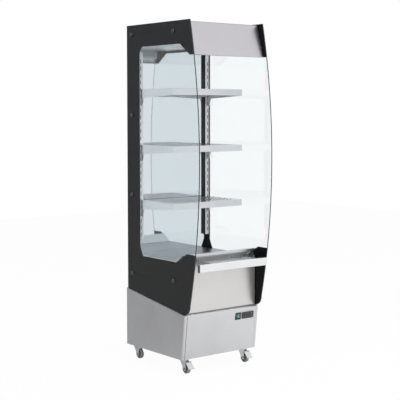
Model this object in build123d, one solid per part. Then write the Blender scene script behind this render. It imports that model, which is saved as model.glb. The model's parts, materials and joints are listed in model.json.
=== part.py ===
from build123d import *
import os
from math import atan, degrees, radians, sin, sqrt

# Heated display case: open front, bowed glass sides, hook-on shelves and a base on castors.
# x runs across the case, y from the front of the base to the back, z up from the floor.
# All sizes are millimetres. Every piece is moved so that the origin is under the case's middle.

# Whole case and its sheet metal
case_height = 1735.0
sheet = 1.5
bend_radius = 2.0
running_clearance = 0.05
free_clearance = 0.3

# Base cabinet: its front leans, the top edge ahead of the fascia and the bottom edge behind it
base_width = 480.0
base_depth = 490.0
base_bottom = 77.0
base_front_top = 302.0
base_rear_top = 375.0
front_overhang = 13.0
front_setback = 11.0
corner_radius = 8.0
corner_post_width = 18.0
corner_return = 20.0
corner_wrap = 64.0
rear_return = 24.0
lip_width = 28.0
foot_width = 20.0
panel_flange = 16.0
panel_gap = 1.0
panel_bend = 8.0

# Glass sides, outer faces this far in from the base's sides
glass_inset = 6.0
glass_thickness = 6.0
glass_gap = 0.5
print_thickness = 0.5
glass_top_lean = 45.0
glass_bulge = 119.0
glass_foot_rise = 53.0
glass_tip_reach = 37.0
glass_tip_radius = 45.0
glass_rear_inset = 6.0

# Clear window left by the black print
window_rear_margin = 26.0
window_below_ceiling = 13.0
window_top_front_y = 36.0
window_front_top_y = -42.0
window_below_deck = 4.0
window_bottom_front_y = 65.0
window_above_deck_front = 9.0
window_front_bottom_y = -20.0
window_corner = 24.0
window_radius = 12.0

# Domed cap screws through the glass
cap_radius = 10.0
cap_height = 6.0
cap_dome = 3.0
screw_radius = 4.0
bush_radius = 7.0
print_hole_radius = 8.5
nut_radius = 7.0
nut_height = 4.0
cap_rear_inset = 44.0
cap_top_inset = 46.0
cap_above_base = 84.0
cap_count = 4
cap_front_y = 85.0
cap_below_deck = 97.0
cap_below_top = 41.0

# Rear duct, mirror and top
duct_depth = 90.0
mirror_return = 14.0
top_drop = 7.0
top_flange = 60.0
ceiling_drop = 93.0
ceiling_front_y = -2.0
ceiling_front_flange = 35.0
outlet_slots = 13
outlet_slot_width = 5.0
outlet_slot_length = 60.0
outlet_from_mirror = 20.0

# Header fascia
header_top_y = -10.0
header_bottom_y = -58.0
header_height = 161.0
header_return = 30.0

# Lamp behind the header
lamp_end_margin = 50.0
lamp_depth = 28.0
lamp_below_ceiling = 43.0
lamp_above_ceiling = 20.0
lamp_diffuser_height = 14.0

# Heated deck
deck_rise = 295.0
deck_fall = 37.0
deck_slope_top_y = 14.0
deck_slope_foot_y = 65.0
deck_lip_height = 13.0
deck_side_gap = 0.5
support_thickness = 2.5
support_flange = 16.0
support_end_gap = 5.0

# Air intake below the deck's front lip and the fascia below it
intake_height = 49.0
fascia_return = 20.0
intake_recess = 10.0
intake_slots = 36
intake_slot_width = 5.0
intake_slot_height = 24.0

# Bumper bar on two arms
bar_end_margin = 25.0
bar_front_y = -103.0
bar_depth = 20.0
bar_height = 40.0
bar_above_fascia = 12.0
bar_corner = 5.0
bar_wall = 1.5
bar_cap_thickness = 3.0
arm_inset = 70.0
arm_width = 28.0
arm_height = 24.0
arm_wall = 2.0

# Slotted standards
standard_width = 24.0
standard_depth = 19.0
standard_edge_gap = 1.0
standard_foot_gap = 74.0
standard_head_gap = 38.0
first_slot = 18.5
slot_pitch = 35.5
slot_height = 20.0
slot_side_clearance = 1.0

# Shelves
shelf_side_gap = 7.5
shelf_front_y = 100.0
shelf_rear_gap = 3.0
shelf_flange = 32.0
shelf_rear_flange = 47.0
slots_above_shelf = 5
shelf_slot_step = 8
bracket_thickness = 2.0
bracket_drop = 80.0
bracket_length = 28.0
hook_height = 10.0
hook_drop = 6.0
hook_depth = 3.0
vent_length = 46.0
vent_width = 7.0
vent_pitch_x = 28.0
vent_pitch_y = 48.0
vent_margin = 26.0

# Fan and heater under the deck
fan_size = 150.0
fan_depth = 38.0
fan_bore_radius = 70.0
fan_tip_gap = 2.0
fan_hub_radius = 27.0
fan_hub_depth = 20.0
fan_shaft_radius = 3.0
fan_blades = 7
fan_blade_thickness = 2.0
fan_blade_pitch = 35.0
fan_strut_width = 8.0
fan_strut_depth = 5.0
fan_y = 200.0
fan_below_deck = 105.0
heater_from_fan = 85.0
heater_half_length = 150.0
heater_strip = 8.0
heater_spacing = 44.0
heater_fins = 16
heater_fin_depth = 28.0
heater_fin_thickness = 1.0
heater_bracket_foot = 18.0

# Controls on the base's front panel
control_below_top = 44.0
switch_from_controller = 63.5
switch_size = 36.0
switch_frame = 5.0
switch_body_inset = 2.0
switch_body_depth = 24.0
bezel_stand = 2.0
rocker_tilt = 8.0
rocker_depth = 8.0
rocker_crown = 1.5
rocker_pin_radius = 1.5
rocker_pin_reach = 2.0
controller_end_margin = 53.5
controller_width = 75.0
controller_height = 34.0
controller_stand = 4.0
controller_body_inset = 2.0
controller_body_depth = 58.0
display_from_left = 27.0
display_width = 38.0
display_height = 20.0
display_depth = 1.5
button_width = 9.0
button_height = 6.0
button_stand = 0.9
button_travel = 0.6
button_well = 3.4
button_pitch = 9.0
button_from_right = 15.0

# Rear service cover
cover_side_overlap = 14.0
cover_top_gap = 3.0
cover_bottom_gap = 3.0
louvre_rows = 7
louvre_columns = 2
louvre_length = 150.0
louvre_pitch_x = 190.0
louvre_pitch_z = 26.0
louvre_height = 7.0
louvre_stand = 1.5

# Supply cord gland and terminal box in the base
gland_x = -150.0
gland_thread_radius = 8.0
gland_nut_radius = 12.0
gland_nut_height = 5.0
gland_reach = 16.0
gland_bore_radius = 4.5
box_size_x = 110.0
box_size_y = 70.0
box_size_z = 55.0
box_corner = 4.0
box_from_gland_x = 30.0
box_from_gland_y = 100.0

# Castors
castor_side_margin = 50.0
castor_front_y = 57.0
castor_rear_margin = 30.0
castor_plate = 54.0
castor_plate_thickness = 2.5
castor_plate_corner = 6.0
castor_bolt_pitch = 40.0
castor_bolt_radius = 5.5
castor_bolt_height = 3.0
race_radius = 18.0
race_height = 5.0
king_pin_radius = 4.0
king_head_radius = 7.0
king_head_height = 5.0
fork_top_radius = 22.0
fork_top_thickness = 4.0
fork_wall = 2.5
fork_front_reach = 21.0
fork_back_reach = 17.0
fork_shoulder = 10.0
fork_foot_radius = 9.5
wheel_radius = 25.0
wheel_width = 19.0
wheel_side_gap = 1.0
wheel_rim_radius = 3.0
wheel_hub_radius = 9.0
wheel_recess = 3.0
castor_trail = 20.0
axle_radius = 3.5
axle_head_radius = 6.0
axle_head_height = 4.0

# Brake pedal on the front castors
pedal_pivot_forward = 16.0
pedal_pivot_height = 60.0
pedal_pin_radius = 2.5
pedal_barrel_radius = 3.0
pedal_thickness = 3.0
pedal_swing = 12.0
pedal_tread_width = 34.0
pedal_tread_start = 34.0
pedal_tread_end = 62.0
pedal_tread_drop = 30.0
pedal_shoe_forward = 30.0
pedal_shoe_length = 6.0

# Sizes worked out from the ones above, across the case
case_middle_y = (base_depth - glass_bulge) / 2
base_half = base_width / 2
panel_half = base_half - corner_post_width
glass_outer = base_half - glass_inset
glass_inner = glass_outer - glass_thickness
lining_x = glass_inner - print_thickness
fascia_half = lining_x - support_thickness
deck_half = lining_x - deck_side_gap
lamp_half_length = base_half - lamp_end_margin
bar_half_length = base_half - bar_end_margin
arm_x = bar_half_length - arm_inset
castor_x = base_half - castor_side_margin
shelf_half_width = lining_x - shelf_side_gap
slot_x = shelf_half_width - sheet - bracket_thickness / 2
controller_x = panel_half - controller_end_margin
switch_x = controller_x - switch_from_controller
box_x = gland_x + box_from_gland_x

# From front to back
glass_rear_y = base_depth - glass_rear_inset
cap_rear_y = glass_rear_y - cap_rear_inset
mirror_y = base_depth - duct_depth
window_rear_y = mirror_y - window_rear_margin
standard_front_y = mirror_y - standard_depth
shelf_rear_y = standard_front_y - shelf_rear_gap
heater_y = fan_y + heater_from_fan
gland_y = mirror_y
box_y = gland_y - box_from_gland_y
castor_rear_y = base_depth - castor_rear_margin

# Heights
base_slope = (base_rear_top - base_front_top) / base_depth
front_lean = (front_overhang + front_setback) / (base_front_top - base_bottom)
floor_underside = base_bottom + sheet
control_height = base_front_top - control_below_top
deck_front_top = base_front_top + deck_rise
deck_floor = deck_front_top - deck_fall
fascia_top = deck_front_top - intake_height
bar_top = fascia_top + bar_above_fascia
bar_bottom = bar_top - bar_height
fan_height = deck_floor - fan_below_deck
top_height = case_height - top_drop
header_bottom = top_height - header_height
ceiling_height = top_height - ceiling_drop
lamp_bottom = ceiling_height - lamp_below_ceiling
lamp_top = ceiling_height + lamp_above_ceiling
glass_bulge_height = (case_height + base_front_top + glass_foot_rise) / 2
window_top = ceiling_height - window_below_ceiling
window_bottom = deck_floor - window_below_deck
window_front_bottom = deck_front_top + window_above_deck_front
cap_first_height = base_rear_top + cap_above_base
cap_pitch = (case_height - cap_top_inset - cap_first_height) / (cap_count - 1)
cap_front_low = deck_floor - cap_below_deck
cap_front_high = top_height - cap_below_top
standard_bottom = deck_floor + standard_foot_gap
standard_top = ceiling_height - standard_head_gap
slot_count = int((standard_top - standard_bottom - first_slot) / slot_pitch)
shelf_top_slot = slot_count - slots_above_shelf
FAR = 3 * case_height


def base_top_at(y):
    """Height of the base's sloping top at a depth."""
    return base_front_top + base_slope * y


def front_y_at(z):
    """Depth of the base's leaning front at a height."""
    return front_lean * (base_front_top - z) - front_overhang


def slab(x_range, y_range, z_range):
    """Rectangular block between two x, two y and two z places."""
    (x0, x1), (y0, y1), (z0, z1) = x_range, y_range, z_range
    return Pos((x0 + x1) / 2, (y0 + y1) / 2, (z0 + z1) / 2) * Box(x1 - x0, y1 - y0, z1 - z0)


def outline(*points):
    """Flat face inside a closed run of straight edges."""
    return make_face(Polyline(*points, close=True))


def folded(points, radii):
    """Cross-section of one sheet folded along a centre line."""
    return trace(FilletPolyline(*points, radius=radii), line_width=sheet)


def along_x(profile, x0, x1):
    """Run a profile drawn in y and z from one x to another."""
    return extrude(Plane.YZ.offset(x0) * profile, x1 - x0, dir=(1, 0, 0))


def along_z(profile, z0, z1):
    """Run a profile drawn in x and y from one height to another."""
    return extrude(Pos(0, 0, z0) * profile, z1 - z0, dir=(0, 0, 1))


def up_the_front(profile, z0, z1):
    """Run a profile drawn in x and y up the base's leaning front."""
    lean = Vector(0, -front_lean, 1)
    return extrude(Pos(0, front_y_at(z0), z0) * profile, (z1 - z0) * lean.length, dir=lean)


def behind_front(y0, y1, z0, z1):
    """Section between two depths behind the base's leaning front and two heights."""
    low, high = front_y_at(z0), front_y_at(z1)
    return outline((low + y0, z0), (low + y1, z0), (high + y1, z1), (high + y0, z1))


def on_front_panel(control):
    """Lean a control, drawn against an upright front at y = 0, against the base's front panel."""
    lean = degrees(atan(front_lean))
    place = Pos(0, front_y_at(control_height), control_height) * Rot(lean, 0, 0)
    return place * Pos(0, 0, -control_height) * control


def across(x, y, z, radius, length):
    """Cylinder along x that starts at a place."""
    return Pos(x + length / 2, y, z) * Rot(0, 90, 0) * Cylinder(radius, abs(length))


def front_to_back(x, y, z, radius, length):
    """Cylinder along y that starts at a place."""
    return Pos(x, y + length / 2, z) * Rot(90, 0, 0) * Cylinder(radius, length)


def upright(x, y, z, radius, length):
    """Cylinder along z that starts at a place."""
    return Pos(x, y, z + length / 2) * Cylinder(radius, length)


def hexagon_up(x, y, z, radius, height):
    """Hexagon head or nut that stands on a height."""
    return extrude(Pos(x, y, z) * RegularPolygon(radius, 6), height, dir=(0, 0, 1))


def hexagon_across(x, y, z, radius, height):
    """Hexagon head or nut along x."""
    return along_x(Pos(y, z) * RegularPolygon(radius, 6), x, x + height)


def mirrored(shape):
    """The same piece on the other side of the case."""
    return mirror(shape, about=Plane.YZ)


def above_base(offset):
    """Everything higher than the base's sloping top plus an offset."""
    low_front = (-FAR, base_top_at(-FAR) + offset)
    low_rear = (FAR, base_top_at(FAR) + offset)
    return along_x(outline(low_front, low_rear, (FAR, 2 * FAR), (-FAR, 2 * FAR)), -FAR, FAR)


def slope_strip(offset, thickness, y0, y1, x0, x1):
    """Sheet that lies parallel to the base's sloping top."""
    low, high = offset, offset + thickness
    profile = outline(
        (y0, base_top_at(y0) + low), (y1, base_top_at(y1) + low),
        (y1, base_top_at(y1) + high), (y0, base_top_at(y0) + high))
    return along_x(profile, x0, x1)


def base_side():
    """Left side of the base: a sheet round both corners, a lip for the glass and a foot flange."""
    half, mid = base_half, sheet / 2
    rear_y = base_depth - sheet
    high = base_rear_top + sheet
    front_path = [
        (-panel_half - mid, corner_return), (-panel_half - mid, mid), (-half + mid, mid),
        (-half + mid, corner_wrap)]
    rear_path = [
        (-half + mid, corner_wrap / 2), (-half + mid, rear_y - mid), (-half + rear_return, rear_y - mid)]
    wall = up_the_front(folded(front_path, [bend_radius, corner_radius - mid]), base_bottom, high)
    wall += along_z(folded(rear_path, bend_radius), base_bottom, high)
    wrap = Pos(-half + lip_width / 2, corner_wrap / 2) * Rectangle(lip_width, corner_wrap)
    wrap = fillet(wrap.vertices().sort_by_distance((-half, 0, 0))[0], corner_radius)
    corner = up_the_front(wrap, base_bottom, high)
    corner += slab((-half, -half + lip_width), (corner_wrap / 2, rear_y), (base_bottom, high))
    lip = corner & slope_strip(-sheet, sheet, -corner_wrap, rear_y, -half, -half + lip_width)
    foot = corner & slab((-half, -half + foot_width), (-corner_wrap, rear_y), (base_bottom, floor_underside))
    room = behind_front(-1, panel_flange + free_clearance, base_bottom - 1, high)
    return wall + lip + foot - above_base(0) - along_x(room, -panel_half, 0)


def control_cutouts():
    """Holes in the front panel for the switch and the controller."""
    switch = switch_size / 2 - switch_body_inset
    wide = controller_width / 2 - controller_body_inset
    high = controller_height / 2 - controller_body_inset
    reach = (-sheet, 2 * sheet)
    holes = slab((switch_x - switch, switch_x + switch), reach,
                 (control_height - switch, control_height + switch))
    holes += slab((controller_x - wide, controller_x + wide), reach,
                  (control_height - high, control_height + high))
    return on_front_panel(holes)


def base_front_panel():
    """Front panel of the base: a shallow tray with flanges on all four sides and a rounded top edge."""
    half = panel_half - panel_gap
    outside = behind_front(0, panel_flange, base_bottom, base_front_top)
    inside = behind_front(sheet, panel_flange + 1, floor_underside, base_front_top - sheet)
    outside = fillet(outside.vertices().group_by(Axis.Y)[-1].sort_by(Axis.X)[0], panel_bend)
    inside = fillet(inside.vertices().group_by(Axis.Y)[-1].sort_by(Axis.X)[0], panel_bend - sheet)
    tray = along_x(outside, -half, half) - along_x(inside, sheet - half, half - sheet)
    return tray - control_cutouts()


def base_floor():
    """Floor of the base, laid on the foot flanges and on the front panel's lower flange."""
    height = (floor_underside, floor_underside + sheet)
    inner = base_half - sheet
    tongue_half = panel_half - panel_gap - sheet
    return_y = front_setback + corner_return
    main = slab((-inner, inner), (return_y, base_depth - 2 * sheet), height)
    main = fillet(main.edges().filter_by(Axis.Z).group_by(Axis.Y)[-1], 2 * bend_radius)
    tongue = slab((-tongue_half, tongue_half), (front_setback + sheet, return_y), height)
    gland = upright(gland_x, gland_y, floor_underside - 1, gland_thread_radius, sheet + 2)
    return main + tongue - gland


def service_cover():
    """Rear cover of the base with two columns of louvres, pressed inwards."""
    half = base_half - rear_return + cover_side_overlap
    cover = slab((-half, half), (base_depth - sheet, base_depth),
                 (base_bottom + cover_bottom_gap, base_rear_top - cover_top_gap))
    middle = (base_bottom + base_rear_top) / 2
    for column in range(louvre_columns):
        x = (column - (louvre_columns - 1) / 2) * louvre_pitch_x
        for row in range(louvre_rows):
            z = middle + (row - (louvre_rows - 1) / 2) * louvre_pitch_z
            reach = (x - louvre_length / 2, x + louvre_length / 2)
            cover -= slab(reach, (base_depth - 2 * sheet, base_depth + 1), (z - louvre_height, z))
            blade = outline((base_depth - sheet, z), (base_depth, z),
                            (base_depth - 2 * louvre_stand, z - louvre_height),
                            (base_depth - 2 * louvre_stand - sheet, z - louvre_height))
            cover += along_x(blade, *reach)
    return cover


def cap_places():
    """Depth and height of each cap screw on one side."""
    rear = [(cap_rear_y, cap_first_height + i * cap_pitch) for i in range(cap_count)]
    return rear + [(cap_front_y, cap_front_low), (cap_front_y, cap_front_high)]


def cap_holes(radius, x0, x1, places):
    """Round holes for the cap screws' bushes through the glass."""
    return [across(x0, y, z, radius, x1 - x0) for y, z in places]


def shank_holes(radius, x0, x1, places):
    """Hexagonal holes that keep the cap screws from turning."""
    return [hexagon_across(x0, y, z, radius, x1 - x0) for y, z in places]


def glass_outline():
    """Side glass: one shallow arc down the front, a rounded tip and a bottom edge on the base's slope."""
    bottom = glass_gap
    top_front = (-glass_top_lean, case_height)
    arc_end = (-glass_top_lean, 2 * glass_bulge_height - case_height)
    tip = (-glass_tip_reach, base_top_at(-glass_tip_reach) + bottom)
    low_rear = (glass_rear_y, base_top_at(glass_rear_y) + bottom)
    front = ThreePointArc(top_front, (-glass_bulge, glass_bulge_height), arc_end)
    rest = Polyline(arc_end, tip, low_rear, (glass_rear_y, case_height), top_front)
    face = make_face([front, rest])
    return fillet(face.vertices().sort_by_distance((*tip, 0))[0], glass_tip_radius)


def window_outline():
    """Clear part of the side glass, open towards the front edge."""
    ahead = -glass_bulge - window_corner
    points = [
        (ahead, header_bottom), (window_front_top_y, header_bottom),
        (window_top_front_y, window_top), (window_rear_y - window_corner, window_top),
        (window_rear_y, window_top - window_corner), (window_rear_y, window_bottom + 2 * window_corner),
        (window_rear_y - window_corner, window_bottom), (window_bottom_front_y, window_bottom),
        (window_front_bottom_y, window_front_bottom), (ahead, window_front_bottom)]
    face = outline(*points)
    rounded = [face.vertices().sort_by_distance((*p, 0))[0] for p in points[1:-1]]
    return fillet(rounded, window_radius)


def glass_side():
    """Left glass."""
    pane = along_x(glass_outline(), -glass_outer, -glass_inner)
    return pane - cap_holes(bush_radius, -glass_outer - 1, -glass_inner + 1, cap_places())


def glass_print():
    """Black enamel border on the inner face of the left glass."""
    border = along_x(glass_outline() - window_outline(), -glass_inner, -lining_x)
    return border - shank_holes(print_hole_radius, -glass_inner - 1, -lining_x + 1, cap_places())


def wall_thickness_at(y, z):
    """Thickness of the metal that a cap screw clamps behind the glass."""
    if y > mirror_y:
        return sheet
    return support_thickness if z < deck_floor else 2 * sheet


def cap_screw(y, z):
    """One round-headed cap screw with its hexagonal shank and nut, on the left side."""
    wall = wall_thickness_at(y, z)
    rim = -glass_outer
    head = across(rim - cap_height, y, z, cap_radius, cap_height)
    head = chamfer(head.edges().group_by(Axis.X)[0], cap_dome)
    shank = hexagon_across(rim, y, z, screw_radius, wall + glass_outer - lining_x)
    nut = hexagon_across(-lining_x + wall, y, z, nut_radius, nut_height)
    return head + shank + nut


def glass_bush(y, z):
    """Nylon bush that keeps a screw off the glass."""
    sleeve = across(-glass_outer, y, z, bush_radius, glass_outer - lining_x)
    return sleeve - hexagon_across(-glass_outer - 1, y, z, screw_radius, glass_outer - lining_x + 2)


def rear_body():
    """Rear duct: one folded sheet with returns that carry the mirror panel."""
    half, mid = lining_x, sheet / 2
    front_y, back_y = mirror_y + sheet + mid, glass_rear_y - mid
    path = [
        (-half + mirror_return, front_y), (-half + mid, front_y), (-half + mid, back_y),
        (half - mid, back_y), (half - mid, front_y), (half - mirror_return, front_y)]
    duct = along_z(folded(path, bend_radius), base_front_top, top_height)
    places = [p for p in cap_places() if p[0] > mirror_y]
    holes = shank_holes(screw_radius, -half - 1, -half + sheet + 1, places)
    holes += shank_holes(screw_radius, half - sheet - 1, half + 1, places)
    return (duct & above_base(sheet)) - holes


def mirror_panel():
    """Polished back of the display space, with air outlets below the ceiling."""
    return slab((-lining_x, lining_x), (mirror_y, mirror_y + sheet), (deck_floor - sheet, ceiling_height))


def top_panel():
    """Top cover with side flanges that the glass is bolted to."""
    cover = slab((-lining_x, lining_x), (header_top_y, glass_rear_y), (top_height, top_height + sheet))
    for side in (-1, 1):
        edges = sorted((side * lining_x, side * (lining_x - sheet)))
        cover += slab(edges, (header_top_y + header_return, mirror_y), (top_height - top_flange, top_height))
    places = [(cap_front_y, cap_front_high)]
    cover -= shank_holes(screw_radius, -lining_x - 1, sheet + 1 - lining_x, places)
    cover -= shank_holes(screw_radius, lining_x - sheet - 1, lining_x + 1, places)
    return cover


def header_fascia():
    """Leaning stainless header: a folded sheet with a return at the top and the bottom."""
    mid = sheet / 2
    path = [
        (header_top_y + header_return, top_height - mid), (header_top_y, top_height - mid),
        (header_bottom_y, header_bottom + mid), (header_bottom_y + header_return, header_bottom + mid)]
    half = lining_x - sheet - free_clearance
    return along_x(folded(path, bend_radius), -half, half)


def ceiling_panel():
    """Ceiling of the display space, with a row of hot air outlets near the mirror."""
    half = lining_x - sheet
    high = cap_front_high + nut_radius + sheet
    tray = slab((-half, half), (ceiling_front_y, mirror_y), (ceiling_height, high))
    hollow = slab((sheet - half, half - sheet), (ceiling_front_y + sheet, mirror_y + 1),
                  (ceiling_height + sheet, high + 1))
    front = slab((-half, half), (ceiling_front_y - 1, ceiling_front_y + sheet + 1),
                 (ceiling_height + ceiling_front_flange, high + 1))
    ceiling = tray - hollow - front
    rear = mirror_y - outlet_from_mirror
    for i in range(outlet_slots):
        x = (i - (outlet_slots - 1) / 2) * 2 * (half - outlet_from_mirror) / outlet_slots
        ceiling -= slab((x - outlet_slot_width, x + outlet_slot_width),
                        (rear - outlet_slot_length, rear), (ceiling_height - 1, ceiling_height + sheet + 1))
    places = [(cap_front_y, cap_front_high)]
    ceiling -= shank_holes(screw_radius, -half - 1, sheet + 1 - half, places)
    ceiling -= shank_holes(screw_radius, half - sheet - 1, half + 1, places)
    return ceiling


def lamp_housing():
    """White lamp housing fixed to the ceiling's front flange."""
    return slab((-lamp_half_length, lamp_half_length), (ceiling_front_y - lamp_depth, ceiling_front_y),
                (lamp_bottom + lamp_diffuser_height, lamp_top))


def lamp_diffuser():
    """Rounded diffuser under the lamp housing."""
    lens = slab((-lamp_half_length, lamp_half_length), (ceiling_front_y - lamp_depth, ceiling_front_y),
                (lamp_bottom, lamp_bottom + lamp_diffuser_height))
    low = lens.edges().filter_by(Axis.X).group_by(Axis.Z)[0]
    return fillet(low, lamp_diffuser_height * 0.7)


def deck_pan():
    """Heated deck: one folded sheet with a front lip, a sloping nose and a floor."""
    mid = sheet / 2
    path = [
        (mid, deck_front_top - deck_lip_height), (mid, deck_front_top - mid),
        (deck_slope_top_y, deck_front_top - mid), (deck_slope_foot_y, deck_floor - mid),
        (mirror_y, deck_floor - mid)]
    return along_x(folded(path, bend_radius), -deck_half, deck_half)


def deck_support():
    """Left side plate under the deck, with a flange that the deck rests on."""
    outer, inner = -lining_x, -fascia_half
    top = deck_floor - sheet
    plate = slab((outer, inner), (fascia_return / 4, mirror_y - 2), (base_front_top, top))
    flange = slab((outer, outer + support_flange),
                  (deck_slope_foot_y + support_end_gap, mirror_y - support_end_gap), (top - sheet, top))
    places = [(cap_front_y, cap_front_low)]
    return ((plate + flange) & above_base(sheet)) - shank_holes(screw_radius, outer - 1, inner + 1, places)


def fascia_panel():
    """Lower fascia between the glass sides: a shallow tray with flanges on all four sides."""
    low = base_top_at(fascia_return) + sheet
    tray = slab((-fascia_half, fascia_half), (0, fascia_return), (low, fascia_top))
    hollow = slab((sheet - fascia_half, fascia_half - sheet), (sheet, fascia_return + 1),
                  (low + sheet, fascia_top - sheet))
    return tray - hollow


def intake_grille():
    """Slotted air intake set back under the deck's front lip."""
    mid = sheet / 2
    low, high = fascia_top, deck_front_top - deck_lip_height + sheet
    path = [(sheet, low + mid), (intake_recess + mid, low + mid), (intake_recess + mid, high - mid),
            (sheet, high - mid)]
    grille = along_x(folded(path, bend_radius), -fascia_half, fascia_half)
    middle = (low + high) / 2
    half_height = min(intake_slot_height, high - low - 3 * bend_radius - 2 * sheet) / 2
    pitch = 2 * (fascia_half - 2 * intake_slot_width) / intake_slots
    for i in range(intake_slots):
        x = (i - (intake_slots - 1) / 2) * pitch
        grille -= slab((x - intake_slot_width / 2, x + intake_slot_width / 2),
                       (intake_recess - 1, intake_recess + sheet + 1),
                       (middle - half_height, middle + half_height))
    return grille


def bar_section(inset):
    """Rounded cross-section of the bumper bar."""
    middle = Pos(bar_front_y + bar_depth / 2, (bar_bottom + bar_top) / 2)
    return middle * RectangleRounded(bar_depth - 2 * inset, bar_top - bar_bottom - 2 * inset,
                                     bar_corner - inset)


def bumper_bar():
    """Stainless bumper bar, a rounded rectangular tube."""
    return along_x(bar_section(0) - bar_section(bar_wall), -bar_half_length, bar_half_length)


def bar_cap():
    """Plug in the left end of the bumper bar."""
    return along_x(bar_section(bar_wall), -bar_half_length, bar_cap_thickness - bar_half_length)


def bar_arm():
    """Left arm of the bar: a channel open at the top."""
    x0, x1 = -arm_x - arm_width / 2, -arm_x + arm_width / 2
    reach = (bar_front_y + bar_depth, 0)
    channel = slab((x0, x1), reach, (bar_top - arm_height, bar_top))
    hollow = slab((x0 + arm_wall, x1 - arm_wall), reach, (bar_top - arm_height + arm_wall, bar_top + 1))
    return channel - hollow


def standard():
    """Left slotted standard: a channel that stands against the mirror panel."""
    outer = -lining_x + standard_edge_gap
    inner = outer + standard_width
    heights = (standard_bottom, standard_top)
    post = slab((outer, inner), (standard_front_y, mirror_y), heights)
    post -= slab((outer + sheet, inner - sheet), (standard_front_y + sheet, mirror_y + 1), heights)
    half = bracket_thickness / 2 + slot_side_clearance
    for i in range(slot_count):
        low = slot_floor(i)
        post -= slab((-slot_x - half, -slot_x + half), (standard_front_y - 1, standard_front_y + sheet + 1),
                     (low, low + slot_height))
    return post


def slot_floor(index):
    """Height of the lower edge of one slot of a standard."""
    return standard_bottom + first_slot + index * slot_pitch


def shelf_top(level):
    """Height of a shelf's top, hooked so many shelf steps below the top slot."""
    upper_hook = slot_floor(shelf_top_slot - level * shelf_slot_step)
    return upper_hook + hook_height + sheet


def shelf(level):
    """Perforated shelf: a folded tray whose side flanges deepen towards the back."""
    top = shelf_top(level)
    half = shelf_half_width
    outer = along_x(outline(
        (shelf_front_y, top), (shelf_rear_y, top), (shelf_rear_y, top - shelf_rear_flange),
        (shelf_front_y, top - shelf_flange)), -half, half)
    inside = slab((sheet - half, half - sheet), (shelf_front_y + sheet, shelf_rear_y - sheet),
                  (top - 2 * shelf_rear_flange, top - sheet))
    tray = outer - inside - slab((-half - 1, half + 1), (shelf_rear_y - sheet - 1, shelf_rear_y + 1),
                                 (top - 2 * shelf_rear_flange, top - shelf_flange / 2))
    for x in (-half, slot_x - bracket_thickness / 2):
        width = half - slot_x + bracket_thickness / 2
        tray -= slab((x, x + width), (shelf_rear_y - sheet, shelf_rear_y + 1),
                     (top - shelf_rear_flange, top - sheet))
    columns = int(2 * (half - vent_margin) / vent_pitch_x)
    rows = int((shelf_rear_y - shelf_front_y - vent_margin) / vent_pitch_y)
    middle_y = (shelf_front_y + shelf_rear_y) / 2
    slot = along_z(Rectangle(vent_length, vent_width, rotation=45), top - 2 * sheet, top + sheet)
    vents = [
        Pos((i - (columns - 1) / 2) * vent_pitch_x, middle_y + (j - (rows - 1) / 2) * vent_pitch_y, 0) * slot
        for i in range(columns) for j in range(rows)]
    return tray - vents


def shelf_bracket(level):
    """Left hook bracket welded inside a shelf's side flange."""
    top = shelf_top(level) - sheet
    back = standard_front_y - free_clearance
    hook_y = standard_front_y + sheet + free_clearance
    tab = outline(
        (back - bracket_length, top), (back, top), (back, top - bracket_drop),
        (back - bracket_length / 2, top - bracket_drop), (back - bracket_length, top - shelf_rear_flange))
    profile = tab
    for step in (0, -2):
        seat = top - hook_height + step * slot_pitch
        profile += outline(
            (back - 1, seat), (hook_y, seat), (hook_y, seat - hook_drop),
            (hook_y + hook_depth, seat - hook_drop), (hook_y + hook_depth, seat + hook_height),
            (back - 1, seat + hook_height))
    outer = -slot_x - bracket_thickness / 2
    return along_x(profile, outer, outer + bracket_thickness)


def fan_bulkhead():
    """Plate across the space under the deck that carries the fan."""
    plate = slab((-fascia_half, fascia_half), (fan_y, fan_y + sheet), (base_front_top, deck_floor - sheet))
    notch = slab((fascia_half - support_flange, lining_x), (fan_y - 1, fan_y + sheet + 1),
                 (deck_floor - 3 * sheet, deck_floor))
    opening = front_to_back(0, fan_y - 1, fan_height, fan_bore_radius, sheet + 2)
    return (plate & above_base(sheet)) - notch - mirrored(notch) - opening


def fan_frame():
    """Fan frame with its motor, held by four struts behind the blades."""
    back = fan_y
    front = back - fan_depth
    half = fan_size / 2
    frame = slab((-half, half), (front, back), (fan_height - half, fan_height + half))
    frame -= front_to_back(0, front - 1, fan_height, fan_bore_radius, fan_depth + 2)
    motor_depth = fan_depth - fan_hub_depth - 4 * free_clearance - fan_tip_gap
    motor = front_to_back(0, back - motor_depth, fan_height, fan_hub_radius, motor_depth)
    motor += front_to_back(0, front + fan_tip_gap, fan_height, fan_shaft_radius, fan_depth - fan_tip_gap)
    strut = slab((0, fan_bore_radius + fan_tip_gap), (back - fan_strut_depth, back),
                 (-fan_strut_width / 2, fan_strut_width / 2))
    for i in range(4):
        motor += Pos(0, 0, fan_height) * Rot(0, 45 + 90 * i, 0) * strut
    return frame + motor


def fan_rotor():
    """Fan rotor: a hub with pitched blades."""
    front = fan_y - fan_depth + fan_tip_gap
    hub = front_to_back(0, front, fan_height, fan_hub_radius, fan_hub_depth)
    middle_y = front + fan_hub_depth / 2
    tip = fan_bore_radius - fan_tip_gap
    chord = (fan_hub_depth - fan_blade_thickness) / sin(radians(fan_blade_pitch))
    blade = Pos((fan_hub_radius / 2 + tip) / 2, 0, 0) * Rot(90 - fan_blade_pitch, 0, 0) * Box(
        tip - fan_hub_radius / 2, chord, fan_blade_thickness)
    for i in range(fan_blades):
        hub += Pos(0, middle_y, fan_height) * Rot(0, 360 * i / fan_blades, 0) * blade
    hub &= front_to_back(0, front, fan_height, tip, fan_hub_depth)
    return hub - front_to_back(0, front - 1, fan_height, fan_shaft_radius + running_clearance,
                               fan_hub_depth + 2)


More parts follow.
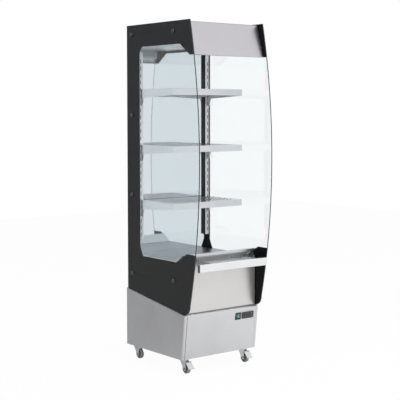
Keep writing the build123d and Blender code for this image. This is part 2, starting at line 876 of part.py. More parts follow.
def heater_bars(x0, x1):
    """The two long bars of the heater strip, one above the other."""
    y_range = (heater_y - heater_strip / 2, heater_y + heater_strip / 2)
    return [slab((x0, x1), y_range, (z - heater_strip / 2, z + heater_strip / 2))
            for z in (fan_height - heater_spacing / 2, fan_height + heater_spacing / 2)]


def heater_element():
    """Finned strip heater: a flat hairpin strip through a stack of fins."""
    start = -heater_half_length - heater_bracket_foot
    end = heater_half_length + heater_bracket_foot
    low, high = heater_bars(start, end)
    bend = slab((end - heater_strip, end), (heater_y - heater_strip / 2, heater_y + heater_strip / 2),
                (fan_height - heater_spacing / 2, fan_height + heater_spacing / 2))
    heater = low + bend + high
    step = 2 * (heater_half_length - heater_fin_depth) / (heater_fins - 1)
    y_range = (heater_y - heater_fin_depth / 2, heater_y + heater_fin_depth / 2)
    tall = heater_spacing / 2 + heater_fin_depth / 2
    for i in range(heater_fins):
        x = heater_fin_depth - heater_half_length + i * step
        heater += slab((x, x + heater_fin_thickness), y_range, (fan_height - tall, fan_height + tall))
    return heater


def heater_bracket(x):
    """Upright bracket that carries the heater strip, standing on the base's top."""
    tall = fan_height + heater_spacing / 2 + heater_fin_depth / 2
    y_range = (heater_y - heater_fin_depth / 2, heater_y + heater_fin_depth / 2)
    web = slab((x, x + sheet), y_range, (base_front_top, tall))
    foot = slope_strip(sheet, sheet, *y_range, x, x + heater_bracket_foot)
    return (web & above_base(sheet)) + foot - heater_bars(x - 1, x + sheet + 1)


def switch_bezel():
    """Frame and body of the rocker switch."""
    half, body = switch_size / 2, switch_size / 2 - switch_body_inset
    well = half - switch_frame
    bezel = slab((switch_x - half, switch_x + half), (-bezel_stand, 0),
                 (control_height - half, control_height + half))
    bezel = fillet(bezel.edges().filter_by(Axis.Y), bezel_stand)
    bezel += slab((switch_x - body, switch_x + body), (0, switch_body_depth),
                  (control_height - body, control_height + body))
    bezel -= slab((switch_x - well, switch_x + well), (-bezel_stand - 1, 2 * rocker_depth),
                  (control_height - well, control_height + well))
    return on_front_panel(bezel - rocker_pin(running_clearance))


def rocker_pin(clearance):
    """Cross pin that the rocker tilts about, or its hole."""
    reach = switch_size / 2 - switch_frame + rocker_pin_reach + clearance
    return across(switch_x - reach, rocker_depth - bezel_stand, control_height,
                  rocker_pin_radius + clearance, 2 * reach)


def rocker():
    """Rocker that tilts about a cross pin in the switch body, shown with its top pressed in."""
    half = switch_size / 2 - switch_frame
    wide = half - free_clearance
    tall = half - 4 * free_clearance
    pivot_y = rocker_depth - bezel_stand
    profile = outline(
        (-rocker_depth - rocker_crown, -tall + rocker_crown), (-rocker_depth, 0),
        (-rocker_depth - rocker_crown, tall - rocker_crown), (-rocker_depth / 2, tall),
        (rocker_depth / 4, tall / 2), (rocker_depth / 4, -tall / 2), (-rocker_depth / 2, -tall))
    key = along_x(Rot(0, 0, -rocker_tilt) * profile, -wide, wide)
    return on_front_panel(Pos(switch_x, pivot_y, control_height) * key + rocker_pin(0))


def button_places():
    """Place of each controller button."""
    x = controller_x + controller_width / 2 - button_from_right
    return [(x, control_height + i * button_pitch) for i in (1, 0, -1)]


def display_box():
    """Edges of the display window in x and in z."""
    x = controller_x - controller_width / 2 + display_from_left
    return ((x - display_width / 2, x + display_width / 2),
            (control_height - display_height / 2, control_height + display_height / 2))


def controller_case():
    """Bezel and body of the digital temperature controller."""
    half, tall = controller_width / 2, controller_height / 2
    bezel = slab((controller_x - half, controller_x + half), (-controller_stand, 0),
                 (control_height - tall, control_height + tall))
    bezel = fillet(bezel.edges().filter_by(Axis.Y), controller_stand / 2)
    wide, high = half - controller_body_inset, tall - controller_body_inset
    bezel += slab((controller_x - wide, controller_x + wide), (0, controller_body_depth),
                  (control_height - high, control_height + high))
    (x0, x1), (z0, z1) = display_box()
    bezel -= slab((x0, x1), (-controller_stand - 1, display_depth - controller_stand), (z0, z1))
    wide, high = button_width / 2 + free_clearance, button_height / 2 + free_clearance
    for x, z in button_places():
        bezel -= slab((x - wide, x + wide), (-controller_stand - 1, button_well - controller_stand),
                      (z - high, z + high))
    return on_front_panel(bezel)


def controller_window():
    """Smoked window over the display."""
    (x0, x1), (z0, z1) = display_box()
    return on_front_panel(slab((x0, x1), (-controller_stand, display_depth - controller_stand), (z0, z1)))


def controller_button(x, z):
    """One sprung button of the controller."""
    wide, high = button_width / 2, button_height / 2
    back = button_well - controller_stand - button_travel - free_clearance
    key = slab((x - wide, x + wide), (-controller_stand - button_stand, back), (z - high, z + high))
    return on_front_panel(fillet(key.edges().group_by(Axis.Y)[0], button_stand / 2))


def cord_gland():
    """Supply cord gland in the base floor: thread, lock nut above, hexagon and dome nut below."""
    low, top = base_bottom - gland_reach, floor_underside + sheet
    high = top + 2 * gland_nut_height
    body = upright(gland_x, gland_y, low, gland_thread_radius, high - low)
    for nut_bottom in (top, floor_underside - gland_nut_height):
        body += hexagon_up(gland_x, gland_y, nut_bottom, gland_nut_radius, gland_nut_height)
    return body - upright(gland_x, gland_y, low - 1, gland_bore_radius, high - low + 2)


def terminal_box():
    """Closed box for the supply terminals on the base floor."""
    low = floor_underside + sheet
    block = slab((box_x - box_size_x / 2, box_x + box_size_x / 2),
                 (box_y - box_size_y / 2, box_y + box_size_y / 2), (low, low + box_size_z))
    return chamfer(block.edges().filter_by(Axis.Z) + block.edges().group_by(Axis.Z)[-1], box_corner)


# Heights in a castor, from the floor of the base down
plate_bottom = floor_underside - castor_plate_thickness
race_bottom = plate_bottom - race_height
fork_top = race_bottom - free_clearance
king_head_top = fork_top - fork_top_thickness - free_clearance
fork_inner = wheel_width / 2 + wheel_side_gap
fork_outer = fork_inner + fork_wall


def castor_mount(x, y):
    """Top plate of a castor with its bolt heads, ball race and king pin."""
    half, bolt = castor_plate / 2, castor_bolt_pitch / 2
    plate = slab((x - half, x + half), (y - half, y + half), (plate_bottom, floor_underside))
    mount = chamfer(plate.edges().filter_by(Axis.Z), castor_plate_corner)
    for dx in (-bolt, bolt):
        for dy in (-bolt, bolt):
            mount += hexagon_up(x + dx, y + dy, plate_bottom - castor_bolt_height, castor_bolt_radius,
                                castor_bolt_height)
    mount += upright(x, y, race_bottom, race_radius, race_height)
    pin_bottom = king_head_top - king_head_height
    mount += upright(x, y, king_head_top, king_pin_radius, plate_bottom - king_head_top)
    return mount + hexagon_up(x, y, pin_bottom, king_head_radius, king_head_height)


def castor_fork(x, y, braked):
    """Swivelling fork: a round top and two tapering legs that reach the axle ahead of the swivel."""
    axle_y = y - castor_trail
    foot = Pos(axle_y, wheel_radius) * Circle(fork_foot_radius)
    shoulder = outline(
        (y - fork_front_reach, fork_top), (y + fork_back_reach, fork_top),
        (y + fork_back_reach, fork_top - fork_shoulder), (y - fork_front_reach, fork_top - fork_shoulder))
    leg_face = make_hull(foot.edges() + shoulder.edges())
    legs = along_x(leg_face, x + fork_inner, x + fork_outer)
    legs += along_x(leg_face, x - fork_outer, x - fork_inner)
    crown = slab((x - fork_outer, x + fork_outer), (y - fork_front_reach, y + fork_back_reach),
                 (fork_top - fork_top_thickness, fork_top))
    crown += upright(x, y, fork_top - fork_top_thickness, fork_top_radius, fork_top_thickness)
    fork = legs + crown
    fork -= upright(x, y, 0, king_pin_radius + running_clearance, FAR)
    fork -= across(x - fork_outer - 1, axle_y, wheel_radius, axle_radius, 2 * fork_outer + 2)
    if braked:
        fork -= across(x - fork_outer - 1, y - pedal_pivot_forward, pedal_pivot_height,
                       pedal_pin_radius + running_clearance, 2 * fork_outer + 2)
    return fork


def castor_axle(x, y):
    """Axle bolt with its head and nut."""
    axle_y = y - castor_trail
    bolt = across(x - fork_outer, axle_y, wheel_radius, axle_radius, 2 * fork_outer)
    bolt += hexagon_across(x + fork_outer, axle_y, wheel_radius, axle_head_radius, axle_head_height)
    return bolt + hexagon_across(x - fork_outer - axle_head_height, axle_y, wheel_radius,
                                 axle_head_radius, axle_head_height)


def castor_wheel(x, y):
    """Wheel with a rounded tread, recessed sides and a tapering hub on the axle."""
    half = wheel_width / 2
    bore = axle_radius + running_clearance
    hub_half = half + wheel_side_gap - free_clearance
    tyre_inner = wheel_radius - 2 * wheel_rim_radius
    profile = outline(
        (bore, -hub_half), (wheel_hub_radius, wheel_recess - half), (tyre_inner, wheel_recess - half),
        (wheel_radius - wheel_rim_radius, -half), (wheel_radius, wheel_rim_radius - half),
        (wheel_radius, half - wheel_rim_radius), (wheel_radius - wheel_rim_radius, half),
        (tyre_inner, half - wheel_recess), (wheel_hub_radius, half - wheel_recess), (bore, hub_half))
    tyre = revolve(profile, Axis.Y)
    return Pos(x, y - castor_trail, wheel_radius) * Rot(0, 0, 90) * tyre


def brake_pedal(x, y):
    """Brake lever: a pinned arm between the fork's legs, a shoe over the wheel and a sloping tread."""
    pivot_y, pivot_z = y - pedal_pivot_forward, pedal_pivot_height
    arm_half = fork_inner - free_clearance
    half = pedal_thickness / 2
    arm = slab((x - arm_half, x + arm_half), (y - pedal_tread_start - half, pivot_y),
               (pivot_z - half, pivot_z + half))
    arm += across(x - arm_half, pivot_y, pivot_z, pedal_barrel_radius, 2 * arm_half)
    arm += across(x - fork_outer, pivot_y, pivot_z, pedal_pin_radius, 2 * fork_outer)
    tread = outline(
        (y - pedal_tread_start, pivot_z + half), (y - pedal_tread_end, pivot_z + half - pedal_tread_drop),
        (y - pedal_tread_end, pivot_z - half - pedal_tread_drop), (y - pedal_tread_start, pivot_z - half))
    arm += along_x(tread, x - pedal_tread_width / 2, x + pedal_tread_width / 2)
    shoe_y = y - pedal_shoe_forward
    from_axle = pedal_shoe_forward - castor_trail
    tyre_top = wheel_radius + sqrt(wheel_radius ** 2 - from_axle ** 2)
    shoe_reach = pedal_shoe_forward + pedal_shoe_length / 2 - pedal_pivot_forward
    shoe_bottom = tyre_top + shoe_reach * sin(radians(pedal_swing)) + 2 * free_clearance
    shoe = slab((x - wheel_width / 2 + wheel_rim_radius, x + wheel_width / 2 - wheel_rim_radius),
                (shoe_y - pedal_shoe_length / 2, shoe_y + pedal_shoe_length / 2), (shoe_bottom, pivot_z))
    return arm + shoe


def write(name, *shapes):
    """Save one node, moved so that the origin lies under the middle of the case."""
    solids = [solid for shape in shapes for solid in shape.solids()]
    moved = [Pos(0, -case_middle_y, 0) * solid for solid in solids]
    piece = moved[0] if len(moved) == 1 else Compound(moved)
    export_step(piece, f"parts/{name}.step")


os.makedirs("parts", exist_ok=True)

side = base_side()
write("base_sides", side, mirrored(side))
write("base_front_panel", base_front_panel())
write("base_floor", base_floor())
write("base_top_plate", slope_strip(0, sheet, 2 * sheet, glass_rear_y, -lining_x, lining_x))
write("service_cover", service_cover())

glass = glass_side()
write("glass_left", glass)
write("glass_right", mirrored(glass))
border = glass_print()
write("glass_prints", border, mirrored(border))
screws = [cap_screw(y, z) for y, z in cap_places()]
write("cap_screws", *screws, *[mirrored(screw) for screw in screws])
bushes = [glass_bush(y, z) for y, z in cap_places()]
write("glass_bushes", *bushes, *[mirrored(bush) for bush in bushes])

write("rear_duct", rear_body())
write("mirror_panel", mirror_panel())
write("top_panel", top_panel())
write("header_fascia", header_fascia())
write("ceiling_panel", ceiling_panel())
write("lamp_housing", lamp_housing())
write("lamp_diffuser", lamp_diffuser())

write("deck_pan", deck_pan())
support = deck_support()
write("deck_supports", support, mirrored(support))
write("fascia_panel", fascia_panel())
write("intake_grille", intake_grille())
write("bumper_bar", bumper_bar())
plug = bar_cap()
write("bar_end_caps", plug, mirrored(plug))
arm = bar_arm()
write("bar_arms", arm, mirrored(arm))

post = standard()
write("standards", post, mirrored(post))
for level, place in enumerate(("upper", "middle", "lower")):
    write(f"shelf_{place}", shelf(level))
    hook = shelf_bracket(level)
    write(f"shelf_brackets_{place}", hook, mirrored(hook))

write("fan_bulkhead", fan_bulkhead())
write("fan_frame", fan_frame())
write("fan_rotor", fan_rotor())
write("heater_element", heater_element())
write("heater_brackets", heater_bracket(-heater_half_length - sheet),
      heater_bracket(heater_half_length - heater_fin_depth / 2))

write("switch_bezel", switch_bezel())
write("switch_rocker", rocker())
write("controller_case", controller_case())
write("controller_window", controller_window())
for place, (x, z) in zip(("up", "set", "down"), button_places()):
    write(f"button_{place}", controller_button(x, z))
write("cord_gland", cord_gland())
write("terminal_box", terminal_box())

corners = {
    "front_left": (-castor_x, castor_front_y, True), "front_right": (castor_x, castor_front_y, True),
    "rear_left": (-castor_x, castor_rear_y, False), "rear_right": (castor_x, castor_rear_y, False)}
write("castor_mounts", *[castor_mount(x, y) for x, y, braked in corners.values()])
for place, (x, y, braked) in corners.items():
    write(f"fork_{place}", castor_fork(x, y, braked))
    write(f"axle_{place}", castor_axle(x, y))
    write(f"wheel_{place}", castor_wheel(x, y))
    if braked:
        write(f"brake_pedal_{place}", brake_pedal(x, y))
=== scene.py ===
# %% [markdown]
# # The looks of a heated display case
#
# The case stands ready as solid parts: a steel base on castors, two bowed glass sides, a leaning
# header, a polished back and three slotted shelves. This script gives each part the surface of the
# real thing, adds the small pieces that the solids leave out, and lights and frames the whole.
# Everything is in metres, with x to the right, y to the back and z up.

# %% Load the parts
import json
from math import asin, cos, degrees, radians, sin

import bpy
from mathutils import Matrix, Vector


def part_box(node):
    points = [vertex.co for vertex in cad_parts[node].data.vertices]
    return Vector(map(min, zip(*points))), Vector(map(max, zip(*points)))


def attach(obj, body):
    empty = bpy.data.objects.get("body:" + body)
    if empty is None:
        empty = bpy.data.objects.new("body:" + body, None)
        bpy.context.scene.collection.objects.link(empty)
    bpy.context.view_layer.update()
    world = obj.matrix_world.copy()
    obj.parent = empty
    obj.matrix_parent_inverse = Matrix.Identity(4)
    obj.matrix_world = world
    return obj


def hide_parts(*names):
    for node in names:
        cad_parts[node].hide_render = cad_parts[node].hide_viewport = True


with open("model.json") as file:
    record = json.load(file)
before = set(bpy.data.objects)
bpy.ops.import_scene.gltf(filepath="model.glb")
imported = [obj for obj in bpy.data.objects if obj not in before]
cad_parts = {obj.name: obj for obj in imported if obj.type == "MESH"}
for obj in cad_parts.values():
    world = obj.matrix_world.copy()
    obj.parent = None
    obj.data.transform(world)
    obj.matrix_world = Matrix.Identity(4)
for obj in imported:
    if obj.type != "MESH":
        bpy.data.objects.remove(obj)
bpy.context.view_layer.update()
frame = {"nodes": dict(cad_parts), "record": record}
parts = frame["nodes"]
MM = 0.001

# %% [markdown]
# ## The camera
#
# A product photograph is taken from some way off with a long lens, so that upright edges stay
# nearly parallel. The camera stands to the left and looks a little down. Its place and lens were
# worked out together with the sizes of the case, from the straight edges in such a photograph.

# %% Camera
camera_place = (-3.2321, -4.1183, 1.2962)
camera_turn = 38.223
camera_tilt = 4.273
camera_lens = 92.2
camera_sensor = 36
camera_shift = -0.03

camera_data = bpy.data.cameras.new("camera")
camera_data.lens = camera_lens
camera_data.sensor_width = camera_sensor
camera_data.shift_y = camera_shift
camera = bpy.data.objects.new("camera", camera_data)
camera.location = camera_place
camera.rotation_euler = (radians(90 - camera_tilt), 0, radians(-camera_turn))
bpy.context.scene.collection.objects.link(camera)
bpy.context.scene.camera = camera
bpy.context.scene.view_settings.view_transform = "Standard"
print("Lens", camera_lens, "mm")

# %% [markdown]
# ## One way to add a node
#
# Every finish below is a small tree of nodes. One function adds a node, sets it up and links it, so
# that each finish reads as a list of what it is made of. Colours are written as hex values, as a
# paint chart gives them, and are turned to the linear values that light is worked out with.

# %% Node and colour helpers
def linear(hex_colour):
    """Linear red, green, blue and alpha of a hex colour."""
    channels = [int(hex_colour[i:i + 2], 16) / 255 for i in (1, 3, 5)]
    return tuple(c / 12.92 if c <= 0.04045 else ((c + 0.055) / 1.055) ** 2.4 for c in channels) + (1,)


def add(tree, kind, inputs=None, **settings):
    """Add a node, then give its inputs a value or a link from another node."""
    node = tree.nodes.new(kind)
    for name, value in settings.items():
        setattr(node, name, value)
    for key, value in (inputs or {}).items():
        if isinstance(value, bpy.types.NodeSocket):
            tree.links.new(value, node.inputs[key])
        else:
            node.inputs[key].default_value = value
    return node


def new_material(name):
    """An empty material with its node tree."""
    material = bpy.data.materials.new(name)
    material.use_nodes = True
    material.node_tree.nodes.clear()
    return material, material.node_tree


# %% [markdown]
# ## Studio light
#
# Brushed steel shows what stands round it. A studio has its big soft light on one side, here to the
# right in front, and the room is darker behind on the left: this is why the case's front looks
# bright and its side mid grey. The world gives that soft change of brightness. What the camera sees
# directly, or through glass, is plain white paper, and a mirror shows more of that paper the more
# it faces the bright side.

# %% Helpers for the room and the floor
bright_side = Vector((0.62, -0.78, -0.05)).normalized()
white = (1, 1, 1, 1)


def ramp_to_bright_side(tree, place, start, end, lowest=0.0, highest=1.0):
    """A soft change from one value to another on the way towards the bright side."""
    towards = add(tree, "ShaderNodeVectorMath", {0: place, 1: bright_side}, operation="DOT_PRODUCT")
    ramp = add(tree, "ShaderNodeMapRange", {
        "Value": towards.outputs["Value"], "From Min": start, "From Max": end,
        "To Min": lowest, "To Max": highest}, interpolation_type="SMOOTHSTEP")
    return ramp.outputs["Result"]


def kinds_of_ray(tree):
    """Two sockets: 1 for what is seen bare or through glass, and 1 for what a gloss mirrors."""
    path = add(tree, "ShaderNodeLightPath")
    seen = add(tree, "ShaderNodeMath", {
        0: path.outputs["Is Camera Ray"], 1: path.outputs["Is Transmission Ray"]}, operation="MAXIMUM")
    return seen.outputs[0], path.outputs["Is Glossy Ray"]


# %% World
room_dark_end, room_bright_end = -0.6, 0.95
room_dimmest, room_brightest = 0.4, 0.94
world = bpy.data.worlds.new("studio")
bpy.context.scene.world = world
world.use_nodes = True
tree = world.node_tree
tree.nodes.clear()
direction = add(tree, "ShaderNodeTexCoord").outputs["Generated"]
nearness = ramp_to_bright_side(tree, direction, room_dark_end, room_bright_end)
level = add(tree, "ShaderNodeMapRange", {
    "Value": nearness, "To Min": room_dimmest, "To Max": room_brightest})
room = add(tree, "ShaderNodeBackground", {"Color": linear("#F4F6FA"), "Strength": level.outputs["Result"]})
paper = add(tree, "ShaderNodeBackground", {"Color": white, "Strength": 1.0})
seen, glossy = kinds_of_ray(tree)
in_mirrors = add(tree, "ShaderNodeMath", {0: glossy, 1: nearness}, operation="MULTIPLY")
paper_share = add(tree, "ShaderNodeMath", {0: seen, 1: in_mirrors.outputs[0]}, operation="MAXIMUM")
mixed = add(tree, "ShaderNodeMixShader", {
    "Fac": paper_share.outputs[0], 1: room.outputs[0], 2: paper.outputs[0]})
add(tree, "ShaderNodeOutputWorld", {"Surface": mixed.outputs[0]})
print("World from", room_dimmest, "to", room_brightest)

# %% [markdown]
# ## Lamps
#
# Three square soft lamps add the direct light: a large one in front on the right, one above that
# reaches the shelves, and a small one on the left for the side. The first two would show as hard
# white squares in the polished back and the glass, so they give light but aren't mirrored.

# %% Lamps
lamp_target = Vector((0, 0, 0.9))


def soft_lamp(name, place, size, power, mirrored=False):
    """A square soft lamp that points at the middle of the case."""
    data = bpy.data.lights.new(name, "AREA")
    data.size = size
    data.energy = power
    lamp = bpy.data.objects.new(name, data)
    lamp.location = place
    lamp.visible_glossy = mirrored
    lamp.visible_transmission = mirrored
    aim = lamp_target - Vector(place)
    lamp.rotation_euler = aim.to_track_quat("-Z", "Y").to_euler()
    bpy.context.scene.collection.objects.link(lamp)


soft_lamp("key_lamp", (2.6, -3.2, 2.6), 2.2, 60)
soft_lamp("top_lamp", (-0.4, -0.6, 3.6), 2.0, 28)
soft_lamp("side_lamp", (-4.2, -0.3, 3.0), 0.8, 45, mirrored=True)

# %% [markdown]
# ## The paper floor
#
# The case stands on a sheet of white paper. Seen directly, nearly all of the floor is a plain white
# glow, and the small rest is real paper that keeps the shadow under the castors. What metal mirrors
# is a floor that gets darker towards the back on the left, as in the room. A faint change of tone,
# in patches about half a metre wide, keeps the paper from looking painted.

# %% Floor
floor_size = 14.0
patches_across_floor = 30.0
floor_dark_end, floor_bright_end = -1.0, 1.2
floor_dimmest, floor_brightest = 0.38, 0.96
glow_share = 0.96
bpy.ops.mesh.primitive_plane_add(size=floor_size, location=(0, 0, 0))
floor = bpy.context.object
floor.name = "floor"
material, tree = new_material("white_paper_floor")
patches = add(tree, "ShaderNodeTexNoise", {"Scale": patches_across_floor, "Detail": 4.0})
tone = add(tree, "ShaderNodeMix", {
    "Factor": patches.outputs["Fac"], "A": linear("#F2F2F2"), "B": linear("#FAFAFA")}, data_type="RGBA")
sheet = add(tree, "ShaderNodeBsdfDiffuse", {"Color": tone.outputs["Result"]})
seen, glossy = kinds_of_ray(tree)
where = add(tree, "ShaderNodeTexCoord").outputs["Object"]
nearness = ramp_to_bright_side(
    tree, where, floor_dark_end, floor_bright_end, floor_dimmest, floor_brightest)
brightness = add(tree, "ShaderNodeMath", {0: seen, 1: nearness}, operation="MAXIMUM")
glow = add(tree, "ShaderNodeEmission", {"Color": white, "Strength": brightness.outputs[0]})
straight = add(tree, "ShaderNodeMath", {0: seen, 1: glow_share}, operation="MULTIPLY")
share = add(tree, "ShaderNodeMath", {0: straight.outputs[0], 1: glossy}, operation="MAXIMUM")
mixed = add(tree, "ShaderNodeMixShader", {"Fac": share.outputs[0], 1: sheet.outputs[0], 2: glow.outputs[0]})
add(tree, "ShaderNodeOutputMaterial", {"Surface": mixed.outputs[0]})
floor.data.materials.append(material)
print("Floor", floor_size, "m across")

# %% [markdown]
# ## Steel
#
# Stainless sheet is finished with an abrasive belt, which leaves fine lines all one way. Each line
# is about a tenth of a millimetre wide, too fine to see from a few metres, so the grain is drawn a
# little coarser. The lines are a noise pattern that is squeezed across the grain and drawn out along
# it, and they change the roughness more than the colour.

# %% Brushed steel
grain_stretch = 160
cloud_per_metre = 5.0
shade_low, shade_high = 0.6, 1.4
scratch_depth = 0.1 * MM
scratch_strength = 0.05


def brushed_steel(name, light, dark, roughness, along, line=0.8, scratch=0.06, metallic=1.0):
    """Belt-ground stainless sheet whose lines, so many millimetres wide, run along x, y or z."""
    material, tree = new_material(name)
    place = add(tree, "ShaderNodeTexCoord").outputs["Object"]
    across = 1 / (line * MM)
    squeeze = [across if axis != along else across / grain_stretch for axis in "xyz"]
    lines = add(tree, "ShaderNodeTexNoise", {
        "Vector": add(tree, "ShaderNodeMapping", {"Vector": place, "Scale": squeeze}).outputs[0],
        "Scale": 1.0, "Detail": 3.0})
    cloud = add(tree, "ShaderNodeTexNoise", {"Vector": place, "Scale": cloud_per_metre, "Detail": 2.0})
    shade = add(tree, "ShaderNodeMath", {0: lines.outputs["Fac"], 1: cloud.outputs["Fac"]}, operation="ADD")
    amount = add(tree, "ShaderNodeMapRange", {
        "Value": shade.outputs[0], "From Min": shade_low, "From Max": shade_high})
    colour = add(tree, "ShaderNodeMix", {
        "Factor": amount.outputs[0], "A": linear(dark), "B": linear(light)}, data_type="RGBA")
    rough = add(tree, "ShaderNodeMapRange", {
        "Value": lines.outputs["Fac"], "To Min": roughness - scratch, "To Max": roughness + scratch})
    bump = add(tree, "ShaderNodeBump", {
        "Height": lines.outputs["Fac"], "Strength": scratch_strength, "Distance": scratch_depth})
    steel = add(tree, "ShaderNodeBsdfPrincipled", {
        "Base Color": colour.outputs["Result"], "Metallic": metallic, "Roughness": rough.outputs[0],
        "Normal": bump.outputs[0]})
    add(tree, "ShaderNodeOutputMaterial", {"Surface": steel.outputs[0]})
    return material


# The base is ground upright and shows a wide, soft light. It is set a little short of fully
# metallic, so that it scatters some light of its own and its side doesn't go dark.
base_steel = brushed_steel("brushed_stainless_upright", "#E3E3E4", "#D4D4D6", 0.4, "z", metallic=0.88)
# The header leans down and has a faint violet cast.
header_steel = brushed_steel("brushed_stainless_header", "#D2D0D4", "#C8C5C9", 0.36, "x")
# The lower fascia is the warmest in tone. It is less metallic still, so its brightness changes less.
fascia_steel = brushed_steel("brushed_stainless_fascia", "#E0DEDC", "#D6D4D2", 0.34, "x", metallic=0.75)
# The liner is bright annealed, and mirrors more sharply than the outer panels.
liner_steel = brushed_steel("bright_annealed_liner", "#DCDFE2", "#CED1D5", 0.30, "x")
# The shelves are finely ground and shine where the light grazes them.
shelf_steel = brushed_steel("brushed_shelf_steel", "#DBDEE1", "#CDD0D4", 0.24, "x")
# The deck's floor is darker than the other steel: a painted shade for the bottom of the case, under the
# shelves.
deck_floor_shade = brushed_steel("deck_floor_painted_shade", "#9CA3AA", "#878E95", 0.34, "x")
# The grille is punched and left as it comes, a little rougher.
grille_steel = brushed_steel("punched_grille_steel", "#D0D1D3", "#BDBEC0", 0.42, "z")
# The rear cover is the roughest sheet.
service_steel = brushed_steel("brushed_cover_steel", "#CFCFD0", "#BFBFC1", 0.45, "x")
print("Brushed grain is", grain_stretch, "times as long as it is wide")

# %% [markdown]
# ## Plastics, paints and plated steel
#
# The other finishes share one recipe: a base colour that wanders a little, a roughness that wanders
# with it, and a fine bump. Moulded plastic has a spark-eroded grain, powder coat has the dimples of
# orange peel, and zinc plating has a soft cloudy sheen. The last plain number in each line is the
# size of its grain in millimetres, coarser than life where the real one is too fine to show.

# %% Recipe for moulded, painted and plated finishes
blotch_per_metre = 14.0
grain_depth = 0.2 * MM
roughness_swing = 0.15


def grained(name, light, dark, roughness, grain_mm, bump=0.1, metallic=0.0, coat=0.0, gloss=0.5):
    """A finish with a fine even grain: moulded plastic, powder coat or plating."""
    material, tree = new_material(name)
    place = add(tree, "ShaderNodeTexCoord").outputs["Object"]
    grain = add(tree, "ShaderNodeTexNoise", {"Vector": place, "Scale": 1 / (grain_mm * MM), "Detail": 2.0})
    cloud = add(tree, "ShaderNodeTexNoise", {"Vector": place, "Scale": blotch_per_metre, "Detail": 3.0})
    colour = add(tree, "ShaderNodeMix", {
        "Factor": cloud.outputs["Fac"], "A": linear(dark), "B": linear(light)}, data_type="RGBA")
    rough = add(tree, "ShaderNodeMapRange", {
        "Value": grain.outputs["Fac"],
        "To Min": roughness * (1 - roughness_swing), "To Max": roughness * (1 + roughness_swing)})
    relief = add(tree, "ShaderNodeBump", {
        "Height": grain.outputs["Fac"], "Strength": bump, "Distance": grain_depth})
    body = add(tree, "ShaderNodeBsdfPrincipled", {
        "Base Color": colour.outputs["Result"], "Metallic": metallic, "Roughness": rough.outputs[0],
        "Coat Weight": coat, "Specular IOR Level": gloss, "Normal": relief.outputs[0]})
    add(tree, "ShaderNodeOutputMaterial", {"Surface": body.outputs[0]})
    return material


# %% Moulded plastics and rubber
# Polished nylon caps have one sharp, bright glint, and glossy ABS a softer one.
black_nylon = grained("moulded_black_nylon", "#141416", "#0D0D0F", 0.2, 0.6, coat=1.0, gloss=1.0)
black_plastic = grained("glossy_black_plastic", "#18181B", "#121214", 0.18, 0.8)
# The controller and the bar's plugs are matt, with a fine grain that hides fingerprints.
controller_plastic = grained("dark_grey_abs", "#3E3E44", "#35353A", 0.4, 0.6)
cap_plastic = grained("grey_moulded_plug", "#6A6C70", "#5C5E62", 0.45, 0.7)
# The buttons look dry. The rocker is glossy green plastic.
button_rubber = grained("grey_button_rubber", "#5A5C61", "#4C4E53", 0.5, 0.6)
rocker_plastic = grained("green_rocker_plastic", "#2A7F68", "#1D6350", 0.2, 0.9, coat=0.5)
# Opal acrylic and natural nylon are milky. Smoked acrylic is nearly a black mirror.
opal = grained("opal_acrylic", "#F4F4EF", "#ECECE6", 0.3, 2.0)
natural_nylon = grained("natural_nylon", "#D8D7D0", "#CBCAC2", 0.4, 1.0)
smoked = grained("smoked_acrylic", "#141416", "#0E0E10", 0.08, 3.0, bump=0.01, coat=0.6)
# Grey non-marking tyres are dull, and their hubs a little smoother and darker.
tyre_rubber = grained("grey_tyre_rubber", "#A39F9B", "#8F8B87", 0.5, 0.7)
hub_plastic = grained("moulded_grey_hub", "#6E6A67", "#5D5A57", 0.4, 0.9)

# %% Paints and printed marks
# Powder coat and stove enamel are even whites with a soft sheen. The dark grey goes on the standards' sides
# and inside their channels. Inside, it is painted shade behind the slots. Primer drinks the light.
white_coat = grained("white_powder_coat", "#FAFAF9", "#F1F1F1", 0.35, 1.2)
stove_enamel = grained("white_stove_enamel", "#DDE0E0", "#D2D6D7", 0.3, 1.5)
dark_sides_and_shade = grained("dark_sides_and_painted_shade", "#2A2B2E", "#1F2023", 0.5, 1.0)
mark_paint = grained("white_printed_mark", "#EDEDEA", "#E2E2DF", 0.5, 0.8)

# %% Plated and bare metals
# Galvanised sheet is cloudy, bright zinc clearer, and chrome close to a mirror.
zinc_sheet = grained("galvanised_sheet", "#C9CDD0", "#AFB4B7", 0.45, 4.0, metallic=0.75)
zinc_plate = grained("bright_zinc_plate", "#B9BCC2", "#8D9098", 0.28, 1.0, metallic=1.0)
chrome = grained("bright_chrome", "#E3E5E8", "#D2D5DA", 0.12, 1.5, bump=0.03, metallic=1.0)
# The bumper bar is the brightest steel. Heat leaves the heater straw brown.
polished_steel = grained("polished_stainless_tube", "#F4F4F5", "#EAEAEB", 0.24, 0.8, bump=0.03, metallic=0.9)
heater_alloy = grained("heat_tinted_alloy", "#8A7D6C", "#5F564C", 0.4, 1.0, metallic=0.9)
# Slot walls and undersides are dark grey: partly the duller mill finish of cut and unground sheet, mostly
# painted shade under the shelves and inside the slots.
mill_grey_and_shade = grained("mill_grey_and_painted_shade", "#505255", "#3E4043", 0.55, 1.0, metallic=0.6)
print("Materials so far:", len(bpy.data.materials))

# %% [markdown]
# ## The polished back
#
# The back of the display space is stainless sheet polished to a mirror. It shows the room with
# hardly any blur, and only a faint haze in patches about a third of a metre wide tells it from
# glass. A haze that moves both colour and roughness a little is enough.

